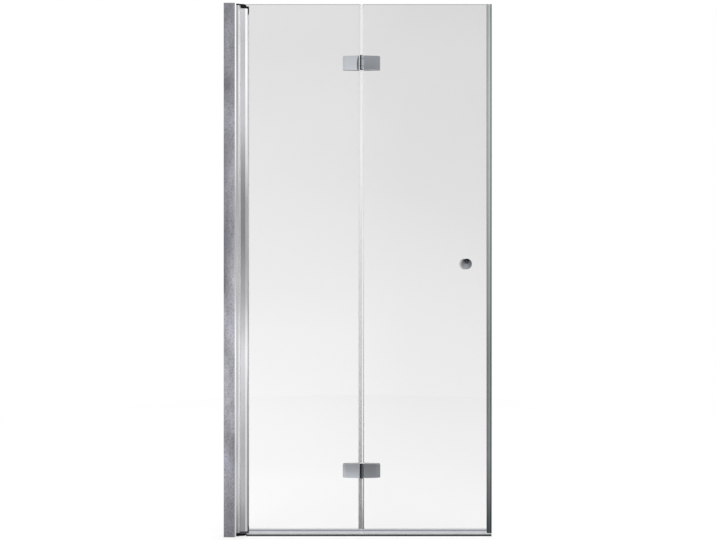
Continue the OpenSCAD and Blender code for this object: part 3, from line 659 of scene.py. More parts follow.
@dataclass(frozen=True)
class Speckled:
    """Bright-dipped aluminium: cloudy patches, fine speckle, draw lines, painted reflections across the face
    and a bright rim that is a painted highlight.
    """

    name: str
    tone: Tone
    gloss: float
    rim_from: float
    # The rim's brighter tone is a painted highlight on the rounded tip; its gloss is its own.
    rim_painted_highlight: tuple[float, ...] = (0.97, 0.97, 0.99, 1.0)
    rim_gloss: float = 0.16
    face_wide: float = 40.0 * MM

    def material(self) -> Material:
        """Builds the material.

        Returns:
            The material.
        """
        sheet = Sheet(self.name)
        rim = sheet.step(sheet.axis("X"), self.rim_from)
        cloudy = sheet.spread(sheet.noise(90.0), self.gloss - 0.06, self.gloss + 0.1)
        metal = sheet.principled(
            Metallic=1.0,
            Base_Color=sheet.blend(self._face(sheet), self.rim_painted_highlight, rim),
            Roughness=sheet.add("Mix", {"Factor": rim, 2: cloudy, 3: self.rim_gloss}, data_type="FLOAT"),
            Normal=sheet.bump(sheet.noise(900.0, 2.0, (1.0, 1.0, 0.12)), 0.03 * MM),
        )
        return sheet.finish(metal)

    def _face(self, sheet: Sheet) -> Socket:
        """The face's colour: clouds, drift, speckle, and painted reflections: a fall-off towards the bottom
        and the top, and a painted shade across its middle.

        Args:
            sheet: The material's node tree.

        Returns:
            The product of them all.
        """
        r, g, b = self.tone
        one = (1.0, 1.0, 1.0)
        drift = sheet.ramp(
            sheet.noise(5.0, 2.0, (3.0, 1.0, 1.0)),
            ((0.3, (0.72, 0.72, 0.74)), (0.5, one), (0.7, (1.22, 1.22, 1.2))),
        )
        clouds = sheet.ramp(
            sheet.noise(26.0, 4.0, (1.0, 1.0, 0.5)),
            ((0.3, (0.8 * r, 0.82 * g, 0.8 * b)), (0.5, self.tone), (0.7, (1.04 * r, 1.05 * g, 1.14 * b))),
        )
        speckle = sheet.ramp(
            sheet.noise(200.0), ((0.3, (0.66, 0.66, 0.67)), (0.5, one), (0.7, (1.26, 1.26, 1.27)))
        )
        up = sheet.height()
        # Painted reflection: the face is darker towards the bottom and the top.
        painted_fall = sheet.ramp(
            up,
            (
                (0.0, (0.72, 0.72, 0.72)), (0.06, (0.95, 0.95, 0.95)), (0.4, one),
                (0.66, (0.92, 0.92, 0.93)), (0.82, (0.72, 0.72, 0.73)), (1.0, (0.76, 0.76, 0.78)),
            ),
        )
        # Painted reflection: near the middle height the face is darker on the wall side and lighter towards
        # the rim.
        from_rim = sheet.share(sheet.axis("X"), self.rim_from - self.face_wide, self.rim_from)
        across = sheet.grey_ramp(from_rim, ((0.0, 0.5), (1.0, 1.3)))
        middle = sheet.grey_ramp(up, ((0.42, 0.0), (0.49, 1.0), (0.66, 0.5), (0.78, 0.0)))
        return sheet.multiply(clouds, drift, speckle, painted_fall, sheet.blend(WHITE, across, middle))


@dataclass(frozen=True)
class Brushed:
    """Turned or brushed steel: fine lines across the piece in both tone and height."""

    name: str
    tone: Tone
    gloss: float = 0.28

    def material(self) -> Material:
        """Builds the material.

        Returns:
            The material.
        """
        sheet = Sheet(self.name)
        lines = sheet.noise(1400.0, 2.0, (0.06, 0.06, 1.0))
        metal = sheet.principled(
            Metallic=1.0,
            Base_Color=sheet.mottle(lines, dimmed(self.tone, 0.8), self.tone),
            Roughness=sheet.spread(lines, self.gloss, self.gloss + 0.14),
            Normal=sheet.bump(lines, 0.02 * MM),
        )
        return sheet.finish(metal)


@dataclass(frozen=True)
class Moulded:
    """Moulded plastic or rubber: a fine grain, and a slight change of tone from place to place.

    Above a given height, if one is given, the surface has a paler tone: a painted highlight where its top
    catches the light.
    """

    name: str
    tone: Tone
    gloss: float = 0.42
    grain: float = 0.04 * MM
    shine: float = 0.5
    painted_highlight_above: float = 0.0
    painted_highlight_tone: Tone = (0.45, 0.46, 0.48)

    def material(self) -> Material:
        """Builds the material.

        Returns:
            The material.
        """
        sheet = Sheet(self.name)
        high = tuple(min(1.0, 1.25 * c + 0.4 * min(0.015, c)) for c in self.tone)
        colour = sheet.ramp(sheet.noise(35.0), ((0.35, self.tone), (0.75, high)))
        if self.painted_highlight_above > 0:
            # Painted highlight: a paler tone on the top of the part.
            pale = sheet.mottle(sheet.noise(60.0), dimmed(self.painted_highlight_tone, 0.9), self.painted_highlight_tone)
            colour = sheet.blend(colour, pale, sheet.step(sheet.axis("Z"), self.painted_highlight_above))
        plastic = sheet.principled(
            Specular_IOR_Level=self.shine,
            Base_Color=colour,
            Roughness=sheet.spread(sheet.noise(300.0), self.gloss - 0.06, self.gloss + 0.12),
            Normal=sheet.bump(sheet.noise(2200.0, 2.0), self.grain),
        )
        return sheet.finish(plastic)


@dataclass(frozen=True)
class Glass:
    """Clear safety glass: a painted shade tint that deepens up and to the right, and edges with painted shade
    that darkens downwards.
    """

    name: str
    box: Box
    rim: float = 2.6 * MM
    lean: float = 0.46
    run: Point = (-0.13, 2.13)
    shadow_tone: tuple[float, ...] = (0.93, 0.94, 0.935, 1.0)
    # Painted shade: the tint darkens along the run, and the edges darken towards the bottom.
    painted_shade_tint: Greys = (
        (0.0, 0.985), (0.084, 0.957), (0.173, 0.93), (0.219, 0.912), (0.271, 0.889), (0.341, 0.868),
        (0.412, 0.852), (0.465, 0.843), (0.562, 0.814), (0.668, 0.771), (0.766, 0.757), (0.854, 0.742),
        (1.0, 0.717),
    )
    painted_edge_shade: Greys = (
        (0.0, 0.4), (0.09, 0.5), (0.18, 0.6), (0.26, 0.65), (0.35, 0.75), (0.44, 0.85), (0.54, 0.95),
        (0.63, 0.98), (0.99, 0.98), (0.996, 0.7),
    )

    def material(self) -> Material:
        """Builds the material, whose painted shade tint runs with the height plus a share of the way right.

        Returns:
            The material.
        """
        sheet = Sheet(self.name)
        run = sheet.math("MULTIPLY_ADD", sheet.axis("X"), self.lean, sheet.axis("Z"))
        warm = tuple((at, (t, t * (1.0 - 0.009 * at), t * (1.0 - 0.004 * at))) for at, t in self.painted_shade_tint)
        rim = sheet.blend(sheet.grey_ramp(sheet.height(), self.painted_edge_shade), WHITE, self._inwards(sheet))
        glass = sheet.principled(
            Transmission_Weight=1.0, Roughness=0.0, IOR=1.5, Specular_IOR_Level=0.35,
            Base_Color=sheet.multiply(sheet.ramp(sheet.share(run, *self.run), warm), rim),
            Normal=sheet.bump(sheet.noise(2.2, 1.0), 0.12 * MM),
        )
        clear = sheet.add("BsdfTransparent", {"Color": self.shadow_tone})
        return sheet.finish(sheet.either(sheet.rays("Is Shadow Ray"), glass, clear))

    def _inwards(self, sheet: Sheet) -> Socket:
        """A value that is 0 on the pane's edges and 1 away from them.

        It is the least distance to the four edges, held against the width of the rim.

        Args:
            sheet: The material's node tree.

        Returns:
            The value.
        """
        box = self.box
        sides = (("X", box.x0, 1.0), ("X", box.x1, -1.0), ("Z", box.z0, 1.0), ("Z", box.z1, -1.0))
        left, right, foot, head = (
            sheet.math("MULTIPLY_ADD", sheet.axis(axis), sign, -sign * place) for axis, place, sign in sides
        )
        least = sheet.math("MINIMUM", sheet.math("MINIMUM", left, right), sheet.math("MINIMUM", foot, head))
        return sheet.share(least, 0.5 * self.rim, self.rim)


@dataclass(frozen=True)
class Translucent:
    """Soft clear seal: light passes it, and its tone runs over stops along an axis and up it, which the seals
    use for painted shade.

    A cover below 1 lets that much less of each surface show, which keeps thin seals clear. It is
    given as stops up the door, with others beyond one x.
    """

    name: str
    stops: Stops
    axis: str = "Z"
    start: float = 0.0
    end: float = DOOR_HEIGHT
    upwards: Stops = greys(((0.0, 1.0), (1.0, 1.0)))
    clear: float = 0.0
    gloss: float = 0.22
    cover: Greys = ()
    beyond: float = 0.0
    cover_beyond: Greys = ()

    def material(self) -> Material:
        """Builds the material.

        Returns:
            The material.
        """
        sheet = Sheet(self.name)
        up = sheet.height()
        along = sheet.share(sheet.axis(self.axis), self.start, self.end)
        cloud = sheet.mottle(sheet.noise(30.0), (0.96, 0.96, 0.965), (1.0, 1.0, 1.0))
        feeds = {}
        if self.cover:
            near, far = (sheet.grey_ramp(up, stops) for stops in (self.cover, self.cover_beyond))
            feeds["Alpha"] = sheet.blend(near, far, sheet.step(sheet.axis("X"), self.beyond))
        pvc = sheet.principled(
            Transmission_Weight=self.clear, IOR=1.42, Specular_IOR_Level=0.3, **feeds,
            Base_Color=sheet.multiply(sheet.ramp(along, self.stops), sheet.ramp(up, self.upwards), cloud),
            Roughness=sheet.spread(sheet.noise(120.0), self.gloss, self.gloss + 0.14),
            Normal=sheet.bump(sheet.noise(400.0, 2.0), 0.03 * MM),
        )
        return sheet.finish(pvc)


def shared_finishes() -> dict[str, Material]:
    """Builds the finishes that several pieces take.

    Returns:
        The materials by name.
    """
    bright, plate = (0.84, 0.84, 0.86), (0.775, 0.81, 0.845)
    satin, mirror = (0.12, 0.08), (0.035, 0.05)
    narrow, wide = (6.8 * MM, 10.6 * MM), (5.2 * MM, 16.0 * MM)
    # Painted reflections and shade up the faces and rim of the adjusting and turning profiles.
    adjusting_painted_reflections = (
        (0.0, 0.5), (0.035, 0.65), (0.07, 0.95), (0.13, 1.1), (0.18, 1.03), (0.257, 0.71), (0.35, 0.68),
        (0.44, 0.78), (0.52, 1.12), (0.575, 1.09), (0.63, 0.94), (0.7, 0.84), (0.76, 0.68), (1.0, 0.63),
    )
    turning_painted_reflections = (
        (0.0, 0.68), (0.035, 0.66), (0.07, 0.88), (0.13, 1.05), (0.18, 0.99), (0.257, 0.84), (0.33, 0.87),
        (0.39, 0.74), (0.44, 0.68), (0.52, 0.66), (0.575, 0.56), (0.63, 0.58), (0.7, 0.66), (0.76, 0.8),
        (0.82, 0.87), (1.0, 0.93),
    )
    turning_rim_painted_reflections = (
        (0.0, 0.5), (0.03, 0.42), (0.13, 0.45), (0.26, 0.5), (0.32, 0.74), (0.39, 0.78), (0.44, 0.85),
        (0.5, 1.0), (0.7, 0.95), (0.76, 0.8), (1.0, 0.72),
    )
    # Painted reflection and shade on the hinge plates: a dark band by the slot and a dark crescent.
    painted_crescent = ((93.4 * MM, 0.0, 1.726), 98.0 * MM, 2.9 * MM)
    shared = (
        Speckled("speckled_aluminium", (0.55, 0.55, 0.585), 0.3, -450.0 * MM),
        PaintedReflectionBands("adjusting_aluminium", bright, *satin, -435.5 * MM, adjusting_painted_reflections),
        PaintedReflectionBands("turning_aluminium", bright, *satin, -412.5 * MM, turning_painted_reflections, -406.4 * MM, turning_rim_painted_reflections),
        Polished("chrome_plate", plate, *mirror),
        PaintedReflectionChrome("upper_fixed_chrome", plate, *mirror, narrow, 0.12, *painted_crescent),
        PaintedReflectionChrome("upper_moving_chrome", plate, *mirror, narrow, 0.12),
        PaintedReflectionChrome("lower_fixed_chrome", plate, *mirror, wide, 0.25),
        PaintedReflectionChrome("lower_moving_chrome", plate, *mirror, wide, 0.25),
        Brushed("brushed_steel", (0.62, 0.61, 0.6)),
        Moulded("grey_cover_plastic", (0.5, 0.5, 0.52), 0.35),
        Moulded("black_bearing_plastic", (0.006, 0.006, 0.007), 0.38, shine=0.12),
        Moulded("matt_black_sleeve", (0.002, 0.002, 0.003), 0.6, shine=0.02),
        # Painted highlight: a paler copy of the black plastic, for the pivot's bottom cap.
        Moulded("black_plastic_painted_light", (0.085, 0.08, 0.1), 0.45, shine=0.2),
        # The bar's paler top is a painted highlight.
        Moulded("black_anodised_bar", (0.03, 0.031, 0.037), 0.3, 0.01 * MM, painted_highlight_above=4.9 * MM),
        Moulded("black_rubber", (0.02, 0.02, 0.021), 0.62, 0.08 * MM),
        Moulded("dark_magnet_strip", (0.055, 0.075, 0.068), 0.5),
        Moulded("white_nylon", (0.74, 0.74, 0.71), 0.45),
    )
    return {finish.name: finish.material() for finish in shared}


# ---------------------------------------------------------------- putting pieces in place


def dress(piece: Piece, material: Material) -> None:
    """Gives a piece one material in place of those it had."""
    piece.data.materials.clear()
    piece.data.materials.append(material)


def stand_for(piece: Piece, node: str, body: Body, material: Material) -> None:
    """Dresses a new piece, makes it ride on its body and hides the node that it stands for.

    Args:
        piece: The new piece.
        node: The frame node.
        body: The body that both ride on.
        material: The piece's finish.
    """
    dress(piece, material)
    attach(piece, body.value)
    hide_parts(node)
    LOG.info("%s stands for %s, %d faces", piece.name, node, len(piece.data.polygons))


@dataclass
class Assembly:
    """A group of pieces that take the shared finishes."""

    finishes: dict[str, Material]

    def copies(self, body: Body, *rows: tuple[str, str, str, float]) -> None:
        """Lets copies with eased edges stand for frame nodes.

        Args:
            body: The body that they ride on.
            *rows: A node, its slot, its finish and the width of its eased edges in millimetres.
        """
        for node, slot, finish, ease in rows:
            copy = eased_copy(node, node + "_eased", ease * MM)
            stand_for(copy, node, body, self.finishes[finish])

    def recoat(self, node: str, finish: str) -> None:
        """Gives a frame node a better material.

        Args:
            node: The frame node, which stays as it is.
            finish: Name of the finish.
        """
        target = NODES[node]
        if not target.data.materials:
            target.data.materials.append(self.finishes[finish])
        for slot in target.material_slots:
            slot.material = self.finishes[finish]
        LOG.info("%s has %s", node, finish)


# ---------------------------------------------------------------- sub-assemblies


@dataclass
class WallSide(Assembly):
    """What is fixed to the wall: the profiles, the pivot blocks, the screws and the threshold."""

    pivot: Point = (-425.0 * MM, 0.0)
    wiper_angle: float = 26.0
    wiper_half: float = 0.75 * MM
    wiper_radii: Point = (9.9 * MM, 11.95 * MM)
    wiper_corner: float = 0.2 * MM
    lip_end: float = 229.0
    lip_radii: Point = (9.85 * MM, 10.6 * MM)
    bead: tuple[Point, ...] = ((-6.85, -9.3), (-4.6, -9.3), (-4.8, -8.6), (-6.85, -7.2))
    groove: float = 1.0 * MM
    cap_ease: float = 0.4 * MM

    def build(self) -> None:
        """Makes every piece of the wall side."""
        self.copies(
            Body.WALL,
            ("wall_profile", "wall_aluminium", "speckled_aluminium", 0.4),
            ("adjusting_profile", "bright_aluminium", "adjusting_aluminium", 0.35),
            ("top_filler_cap", "grey_plastic", "grey_cover_plastic", 0.3),
            ("screw_covers", "grey_plastic", "grey_cover_plastic", 0.25),
            ("locking_screws", "steel", "brushed_steel", 0.2),
            ("top_pivot_block", "black_plastic", "black_bearing_plastic", 0.5),
            ("bottom_pivot_block", "black_plastic", "black_bearing_plastic", 0.5),
            ("top_pivot_pin", "steel", "brushed_steel", 0.3),
            ("bottom_pivot_pin", "steel", "brushed_steel", 0.3),
        )
        self._wipers()
        self._threshold()

    def _wipers(self) -> None:
        """The strips in the seat, and the lip of the front one, which closes the gap to the room.

        A strip is a small rectangle turned about the pivot. The lip is part of a ring between the
        barrel and its seat, from the strip to the gap, with a rounded bead at its end, whose
        corners are given in millimetres from the pivot.
        """
        box, centre, (near, far) = Box.of("barrel_wipers"), np.array(self.pivot), self.wiper_radii
        strip = np.array(rectangle(near, -self.wiper_half, far, self.wiper_half))
        start, end, (inner, outer) = 180.0 + self.wiper_angle, self.lip_end, self.lip_radii
        loops = []
        for turn in (180.0 - self.wiper_angle, start):
            along_and_across = arc((0.0, 0.0), 1.0, turn, turn + 90.0, 2)
            loops.append(rounded(centre + strip @ along_and_across, self.wiper_corner, 3))
        lip = [arc(self.pivot, outer, start, end, 12), arc(self.pivot, inner, end, start, 12)]
        bead = rounded(centre + MM * np.array(self.bead), self.wiper_corner, 4)
        shell = Shell()
        for loop in [*loops, np.concatenate(lip), bead]:
            shell.prism([loop], box.z0, box.z1, 0.0, Lay.PLAN)
        # Painted shade: the wipers are darker towards the bottom.
        tone = greys(((0.0, 0.5), (0.05, 0.65), (0.12, 0.85), (0.3, 1.0), (1.0, 1.0)))
        finish = Translucent("wiper_pvc", tone, gloss=0.3).material()
        stand_for(shell.mesh("barrel_wiper_lips"), "barrel_wipers", Body.WALL, finish)

    def _threshold(self) -> None:
        """The half round bar: a half circle with a flat groove below, carried along x."""
        box, caps = Box.of("threshold_bar"), Box.of("threshold_end_caps")
        radius, thick = (box.y1 - box.y0) / 2, box.x0 - caps.x0
        half = arc((0.0, 0.0), radius, 0.0, 180.0, 33)
        wide, deep = radius / 2, self.groove
        bar, ends = Shell(), Shell()
        outline = np.concatenate([half, [(-wide, 0.0), (-wide, deep), (wide, deep), (wide, 0.0)]])
        bar.prism([outline], box.x0, box.x1, 0.0, Lay.SIDE)
        for low in (caps.x0, caps.x1 - thick):
            ends.prism([half], low, low + thick, self.cap_ease, Lay.SIDE)
        black = self.finishes["black_anodised_bar"]
        stand_for(bar.mesh("threshold_rail"), "threshold_bar", Body.WALL, black)
        black = self.finishes["black_bearing_plastic"]
        stand_for(ends.mesh("threshold_caps"), "threshold_end_caps", Body.WALL, black)


@dataclass
class Pane:
    """One sheet of glass with arrised edges and drilled holes."""

    node: str
    body: Body
    holes: list[Point]
    hole_radius: float = 7.0 * MM
    corner: float = 1.2 * MM
    arris: float = 0.7 * MM

    def build(self) -> None:
        """Makes the pane as an outline with holes, carried through its thickness."""
        box = Box.of(self.node)
        loops = [rounded(rectangle(box.x0, box.z0, box.x1, box.z1), self.corner)]
        loops += [ring(hole, self.hole_radius, 40) for hole in self.holes]
        shell = Shell()
        shell.prism(loops, box.y0, box.y1, self.arris, Lay.FRONT)
        finish = Glass(self.node + "_clear", box).material()
        stand_for(shell.mesh(self.node + "_pane"), self.node, self.body, finish)


CLIP_LAP = 0.05 * MM  # space between a clip's bridge and the glass
CLIP_KNEES = (1.2 * MM, 2.4 * MM)  # where a flare starts to thin and where it ends, from the tip
CLIP_CORNER = 0.35 * MM
MIRRORED = (1.0, -1.0)  # factors that mirror an outline in the middle of the glass


def clip_outline(
    edge: float, away: int, leg: float, half: float, thick: float, bridge: float, flare: float = 0.0
) -> Loop:
    """Outline in plan of a clip on the edge of a pane, whose lower half mirrors the upper.

    Args:
        edge: Where the edge of the glass is, in x.
        away: 1 if the clip stands off towards +x, and -1 if towards -x.
        leg: How far the legs reach over the glass.
        half: Half the thickness of the glass.
        thick: Thickness of the legs.
        bridge: Thickness of the bridge.
        flare: How much thicker the legs are at their tips.

    Returns:
        A closed loop.
    """
    outer, tip = half + thick, edge - away * leg
    knee, slope = tip + away * np.array(CLIP_KNEES)
    wall, far = edge + away * np.array([CLIP_LAP, bridge])
    wide = outer + flare
    upper = np.array(
        [(wall, half), (tip, half), (tip, wide), (knee, wide), (slope, outer), (far, outer)]
    )
    return rounded(np.concatenate([upper, upper[::-1] * MIRRORED]), CLIP_CORNER, 4)


# How much of each fold seal shows up the door, left and right of the edge of its glass: more towards the
# tray, as painted shade.
INNER_LEGS: Greys = (
    (0.0, 0.36), (0.033, 0.32), (0.089, 0.25), (0.18, 0.175), (0.255, 0.13), (0.35, 0.12), (0.44, 0.1),
    (0.54, 0.065), (0.63, 0.015), (0.75, 0.004), (1.0, 0.02),
)
BULB: Greys = (
    (0.0, 0.44), (0.033, 0.43), (0.089, 0.38), (0.18, 0.3), (0.255, 0.25), (0.35, 0.21), (0.44, 0.19),
    (0.54, 0.18), (0.63, 0.13), (0.73, 0.09), (1.0, 0.15),
)
LIP: Greys = (
    (0.0, 0.55), (0.033, 0.5), (0.06, 0.2), (0.089, 0.13), (0.18, 0.055), (0.27, 0.045), (0.35, 0.12),
    (0.44, 0.11), (0.54, 0.15), (0.73, 0.2), (1.0, 0.22),
)
OUTER_LEGS: Greys = (
    (0.0, 0.42), (0.033, 0.38), (0.089, 0.32), (0.18, 0.22), (0.255, 0.19), (0.35, 0.14), (0.44, 0.1),
    (0.54, 0.04), (0.75, 0.005), (1.0, 0.01),
)


@dataclass
class FoldSeals:
    """The two seals that meet at the fold, each in three runs between the hinges."""

    hinge_heights: Point
    half_break: float = 28.0 * MM
    leg_thick: float = 1.04 * MM
    bridge: float = 1.2 * MM
    bulb: float = 2.9 * MM
    bulb_wall: float = 0.9 * MM
    root: float = 0.72 * MM
    lip_corner: float = 0.5 * MM
    half_glass: float = 3.06 * MM
    ease: float = 0.2 * MM

    def build(self, inner_edge: float, outer_edge: float) -> None:
        """Makes the seal with the bulb on the turning pane and the one with the lip facing it.

        Args:
            inner_edge: Where the turning pane ends, in x.
            outer_edge: Where the folding pane starts.
        """
        box = Box.of("inner_fold_seal")
        centre, start = (box.x1 - self.bulb, 0.0), inner_edge + self.root
        outline = [arc(centre, self.bulb, -90, 90, 21), [(start, self.bulb), (start, -self.bulb)]]
        head = [np.concatenate(outline), ring(centre, self.bulb - self.bulb_wall, 28)]
        piece = self._runs("inner_bulb_seal", box, inner_edge, 1, head)
        finish = self._finish("inner_seal_pvc", inner_edge, INNER_LEGS, BULB)
        stand_for(piece, "inner_fold_seal", Body.TURNING, finish)

        box = Box.of("outer_fold_seal")
        corners = rectangle(box.x0, -self.bulb, outer_edge - self.root, self.bulb)
        piece = self._runs("outer_lip_seal", box, outer_edge, -1, [rounded(corners, self.lip_corner)])
        finish = self._finish("outer_seal_pvc", outer_edge, LIP, OUTER_LEGS)
        stand_for(piece, "outer_fold_seal", Body.FOLDING, finish)

    def _runs(self, name: str, box: Box, edge: float, away: int, head: list[Loop]) -> Piece:
        """A clip and a head in three runs, broken at both hinges.

        Args:
            name: Name of the piece.
            box: The seal's box.
            edge: The edge of the glass.
            away: 1 if the seal stands off towards +x, and -1 if towards -x.
            head: Loops of the bulb or the lip.

        Returns:
            The piece.
        """
        leg = edge - box.x0 if away > 0 else box.x1 - edge
        clip = clip_outline(edge, away, leg, self.half_glass, self.leg_thick, self.bridge)
        (low, high), gap = self.hinge_heights, self.half_break
        shell = Shell()
        for start, end in ((box.z0, low - gap), (low + gap, high - gap), (high + gap, box.z1)):
            shell.prism([clip], start, end, self.ease, Lay.PLAN)
            shell.prism(head, start, end, self.ease, Lay.PLAN)
        return shell.mesh(name)

    def _finish(self, name: str, edge: float, left: Greys, right: Greys) -> Material:
        """Clear at the top and darker and more covered towards the tray, as painted shade, by one cover left
        of the edge and one right.
        """
        tones = greys(((0.0, 0.3), (0.2, 0.45), (0.5, 0.6), (1.0, 0.8)), 1.05)
        return Translucent(name, tones, gloss=0.2, cover=left, beyond=edge, cover_beyond=right).material()


@dataclass
class DripSeal:
    """The seal under one pane: a clip, a straight lip and a curved deflector on the shower side."""

    node: str
    body: Body
    half_glass: float = 3.0 * MM
    leg_thick: float = 1.1 * MM
    glass_z: float = 13.0 * MM
    floor: float = 2.0 * MM
    taper: Point = (0.4 * MM, 1.5 * MM)
    corners: Point = (0.3 * MM, 0.25 * MM)
    lip_root: float = 1.8 * MM
    lip_tip: Point = (0.4 * MM, 1.2 * MM)
    lip_lap: float = 0.5 * MM
    fin_root: float = 1.9 * MM
    fin_dip: float = 0.2 * MM
    fin_sides: tuple[Tone, Tone] = ((0.8 * MM, 0.0, 0.0), (-0.1 * MM, 0.6 * MM, 0.3 * MM))
    ease: float = 0.15 * MM
    # Painted shade: a dark band under the top of the legs, and greyer tones above it.
    stops: Stops = (
        (0.0, (0.94, 0.96, 1.0)), (0.1, (0.98, 1.0, 1.0)), (0.4, (0.97, 0.98, 1.0)),
        (0.56, (0.86, 0.88, 0.95)), (0.63, (0.36, 0.38, 0.43)), (0.73, (0.36, 0.38, 0.43)),
        (0.8, (0.6, 0.62, 0.67)), (0.92, (0.68, 0.7, 0.75)), (1.0, (1.0, 1.0, 1.0)),
    )

    def _clip(self, box: Box) -> Loop:
        """The clip round the lower edge of the glass, its legs tapered at the top.

        Args:
            box: The seal's box.

        Returns:
            A closed loop.
        """
        half, outer, (lean, drop) = self.half_glass, self.half_glass + self.leg_thick, self.taper
        leg = [(outer, box.z1 - drop), (half + lean, box.z1), (half, box.z1), (half, self.glass_z)]
        right = np.array([(outer, self.glass_z - self.floor), *leg])
        return rounded(np.concatenate([right, right[::-1] * MIRRORED[::-1]]), self.corners[0], 3)

    def _lip(self, box: Box) -> Loop:
        """The straight lip under the room side of the clip, narrower at its tip.

        Args:
            box: The seal's box.

        Returns:
            A closed loop.
        """
        side, top = -self.half_glass - self.leg_thick, self.glass_z - self.floor + self.lip_lap
        low, high = self.lip_tip
        corners = np.array([(0.0, top), (low, box.z0), (high, box.z0), (self.lip_root, top)])
        return rounded(corners + (side, 0.0), self.corners[1], 3)

    def _fin(self, box: Box) -> Loop:
        """The curved deflector, between two quarters of an ellipse.

        A point lies reach times the sine of the turn out from the root and drop times one minus
        its cosine down. Each side starts at its own height and is shorter both ways by its own
        amounts.

        Args:
            box: The seal's box.

        Returns:
            A closed loop.
        """
        turn = np.linspace(0.0, np.pi / 2, 12)[:, None]
        turned = np.concatenate([np.sin(turn), np.cos(turn) - 1.0], axis=1)
        low = self.glass_z - self.floor
        reach, drop = box.y1 - self.fin_root, low + self.fin_dip - box.z0
        upper, lower = (
            (self.fin_root, low + lift) + turned * (reach - shorter, drop - flatter)
            for lift, shorter, flatter in self.fin_sides
        )
        return np.concatenate([upper, lower[::-1]])

    def build(self) -> None:
        """Makes the seal and its finish, with a dark line below the top of the legs, painted shade where the
        glass's lower edge shows.
        """
        box = Box.of(self.node)
        shell = Shell()
        for loop in (self._clip(box), self._lip(box), self._fin(box)):
            shell.prism([loop], box.x0, box.x1, self.ease, Lay.SIDE)
        finish = Translucent(self.node + "_pvc", self.stops, "Z", box.z0, box.z1).material()
        stand_for(shell.mesh(self.node + "_lips"), self.node, self.body, finish)


@dataclass
class TurningPanel(Assembly):
    """The panel on the wall pivot: the turning profile, its glass and its seals."""

    screw_holes: list[Point]

    def build(self) -> None:
        """Makes every piece of the turning panel but the hinges and the fold seal."""
        self.copies(
            Body.TURNING,
            ("pivot_profile", "bright_aluminium", "turning_aluminium", 0.4),
            ("pivot_top_cap", "black_plastic", "black_bearing_plastic", 0.4),
            # The bottom cap takes the paler black, a painted highlight.
            ("pivot_bottom_cap", "black_plastic", "black_plastic_painted_light", 0.4),
            ("top_pivot_bush", "white_nylon", "white_nylon", 0.2),
            ("bottom_pivot_bush", "white_nylon", "white_nylon", 0.2),
        )
        # Painted shade: the gasket is darker towards the bottom, with a dip a little under half way up.
        tone = (
            (0.0, 0.4), (0.1, 0.58), (0.26, 0.82), (0.36, 0.9), (0.42, 0.68), (0.5, 0.74), (0.7, 0.86),
            (1.0, 0.98),
        )
        gasket = eased_copy("glazing_gasket", "glazing_gasket_lips", 0.25 * MM)
        finish = Translucent("gasket_pvc", greys(tone), clear=0.3).material()
        stand_for(gasket, "glazing_gasket", Body.TURNING, finish)
        Pane("pivot_glass", Body.TURNING, self.screw_holes).build()
        DripSeal("inner_drip_seal", Body.TURNING).build()


@dataclass
class FoldingPanel(Assembly):
    """The panel that folds: its glass, its seals and the magnet."""

    screw_holes: list[Point]
    knob_hole: Point
    half_glass: float = 3.0 * MM
    leg_thick: float = 1.1 * MM
    bridge: float = 1.2 * MM
    flare: float = 0.25 * MM
    root: float = 0.6 * MM
    chamber_wall: float = 0.9 * MM
    pocket_gap: float = 0.05 * MM
    corners: Tone = (1.0 * MM, 0.6 * MM, 0.1 * MM)
    ease: float = 0.2 * MM
    # Painted shade: the seal darkens towards the bottom.
    painted_shade_upwards: Stops = (
        (0.0, (0.16, 0.17, 0.19)), (0.035, (0.21, 0.22, 0.24)), (0.07, (0.32, 0.32, 0.34)),
        (0.15, (0.49, 0.49, 0.51)), (0.35, (0.48, 0.49, 0.49)), (0.45, (0.62, 0.63, 0.62)),
        (0.54, (0.7, 0.71, 0.7)), (0.63, (0.8, 0.8, 0.8)), (0.82, (0.9, 0.9, 0.9)), (1.0, (0.78, 0.78, 0.78)),
    )

    def build(self) -> None:
        """Makes every piece of the folding panel but the hinges, the fold seal and the knobs."""
        Pane("folding_glass", Body.FOLDING, [*self.screw_holes, self.knob_hole]).build()
        DripSeal("outer_drip_seal", Body.FOLDING).build()
        self._closing_seal()
        self.copies(Body.FOLDING, ("magnet_strip", "magnet", "dark_magnet_strip", 0.3))

    def _closing_seal(self) -> None:
        """The seal on the closing edge: a clip, an air chamber and the chamber of the magnet."""
        box, strip, edge = Box.of("closing_seal"), Box.of("magnet_strip"), Box.of("folding_glass").x1
        half, wall, gap, start = box.y1, self.chamber_wall, self.pocket_gap, edge + self.root
        leg, (outer, middle, inner) = edge - box.x0, self.corners
        clip = clip_outline(edge, 1, leg, self.half_glass, self.leg_thick, self.bridge, self.flare)
        body = rounded(rectangle(start, -half, box.x1, half), outer)
        air = rounded(rectangle(start + wall, wall - half, strip.x0 - wall, half - wall), middle)
        pocket = rectangle(strip.x0 - gap, strip.y0 - gap, strip.x1 + gap, strip.y1 + gap)
        shell = Shell()
        for loops in ([clip], [body, air, rounded(pocket, inner, 3)]):
            shell.prism(loops, box.z0, box.z1, self.ease, Lay.PLAN)
        legs, magnet = ((x - box.x0) / (box.x1 - box.x0) for x in (edge, strip.x0))
        # Painted shade: past the magnet the seal darkens towards its outer edge.
        stops = (
            (0.0, (0.45, 0.45, 0.48)), (legs - 0.12, (0.45, 0.45, 0.48)), (legs + 0.04, (0.6, 0.66, 0.63)),
            (magnet - 0.04, (0.64, 0.7, 0.67)), (magnet + 0.02, (0.3, 0.36, 0.34)),
            (0.84, (0.17, 0.205, 0.195)), (1.0, (0.02, 0.026, 0.024)),
        )
        finish = Translucent("closing_seal_pvc", stops, "X", box.x0, box.x1, self.painted_shade_upwards, gloss=0.35)
        piece = shell.mesh("closing_seal_strip")
        stand_for(piece, "closing_seal", Body.FOLDING, finish.material())


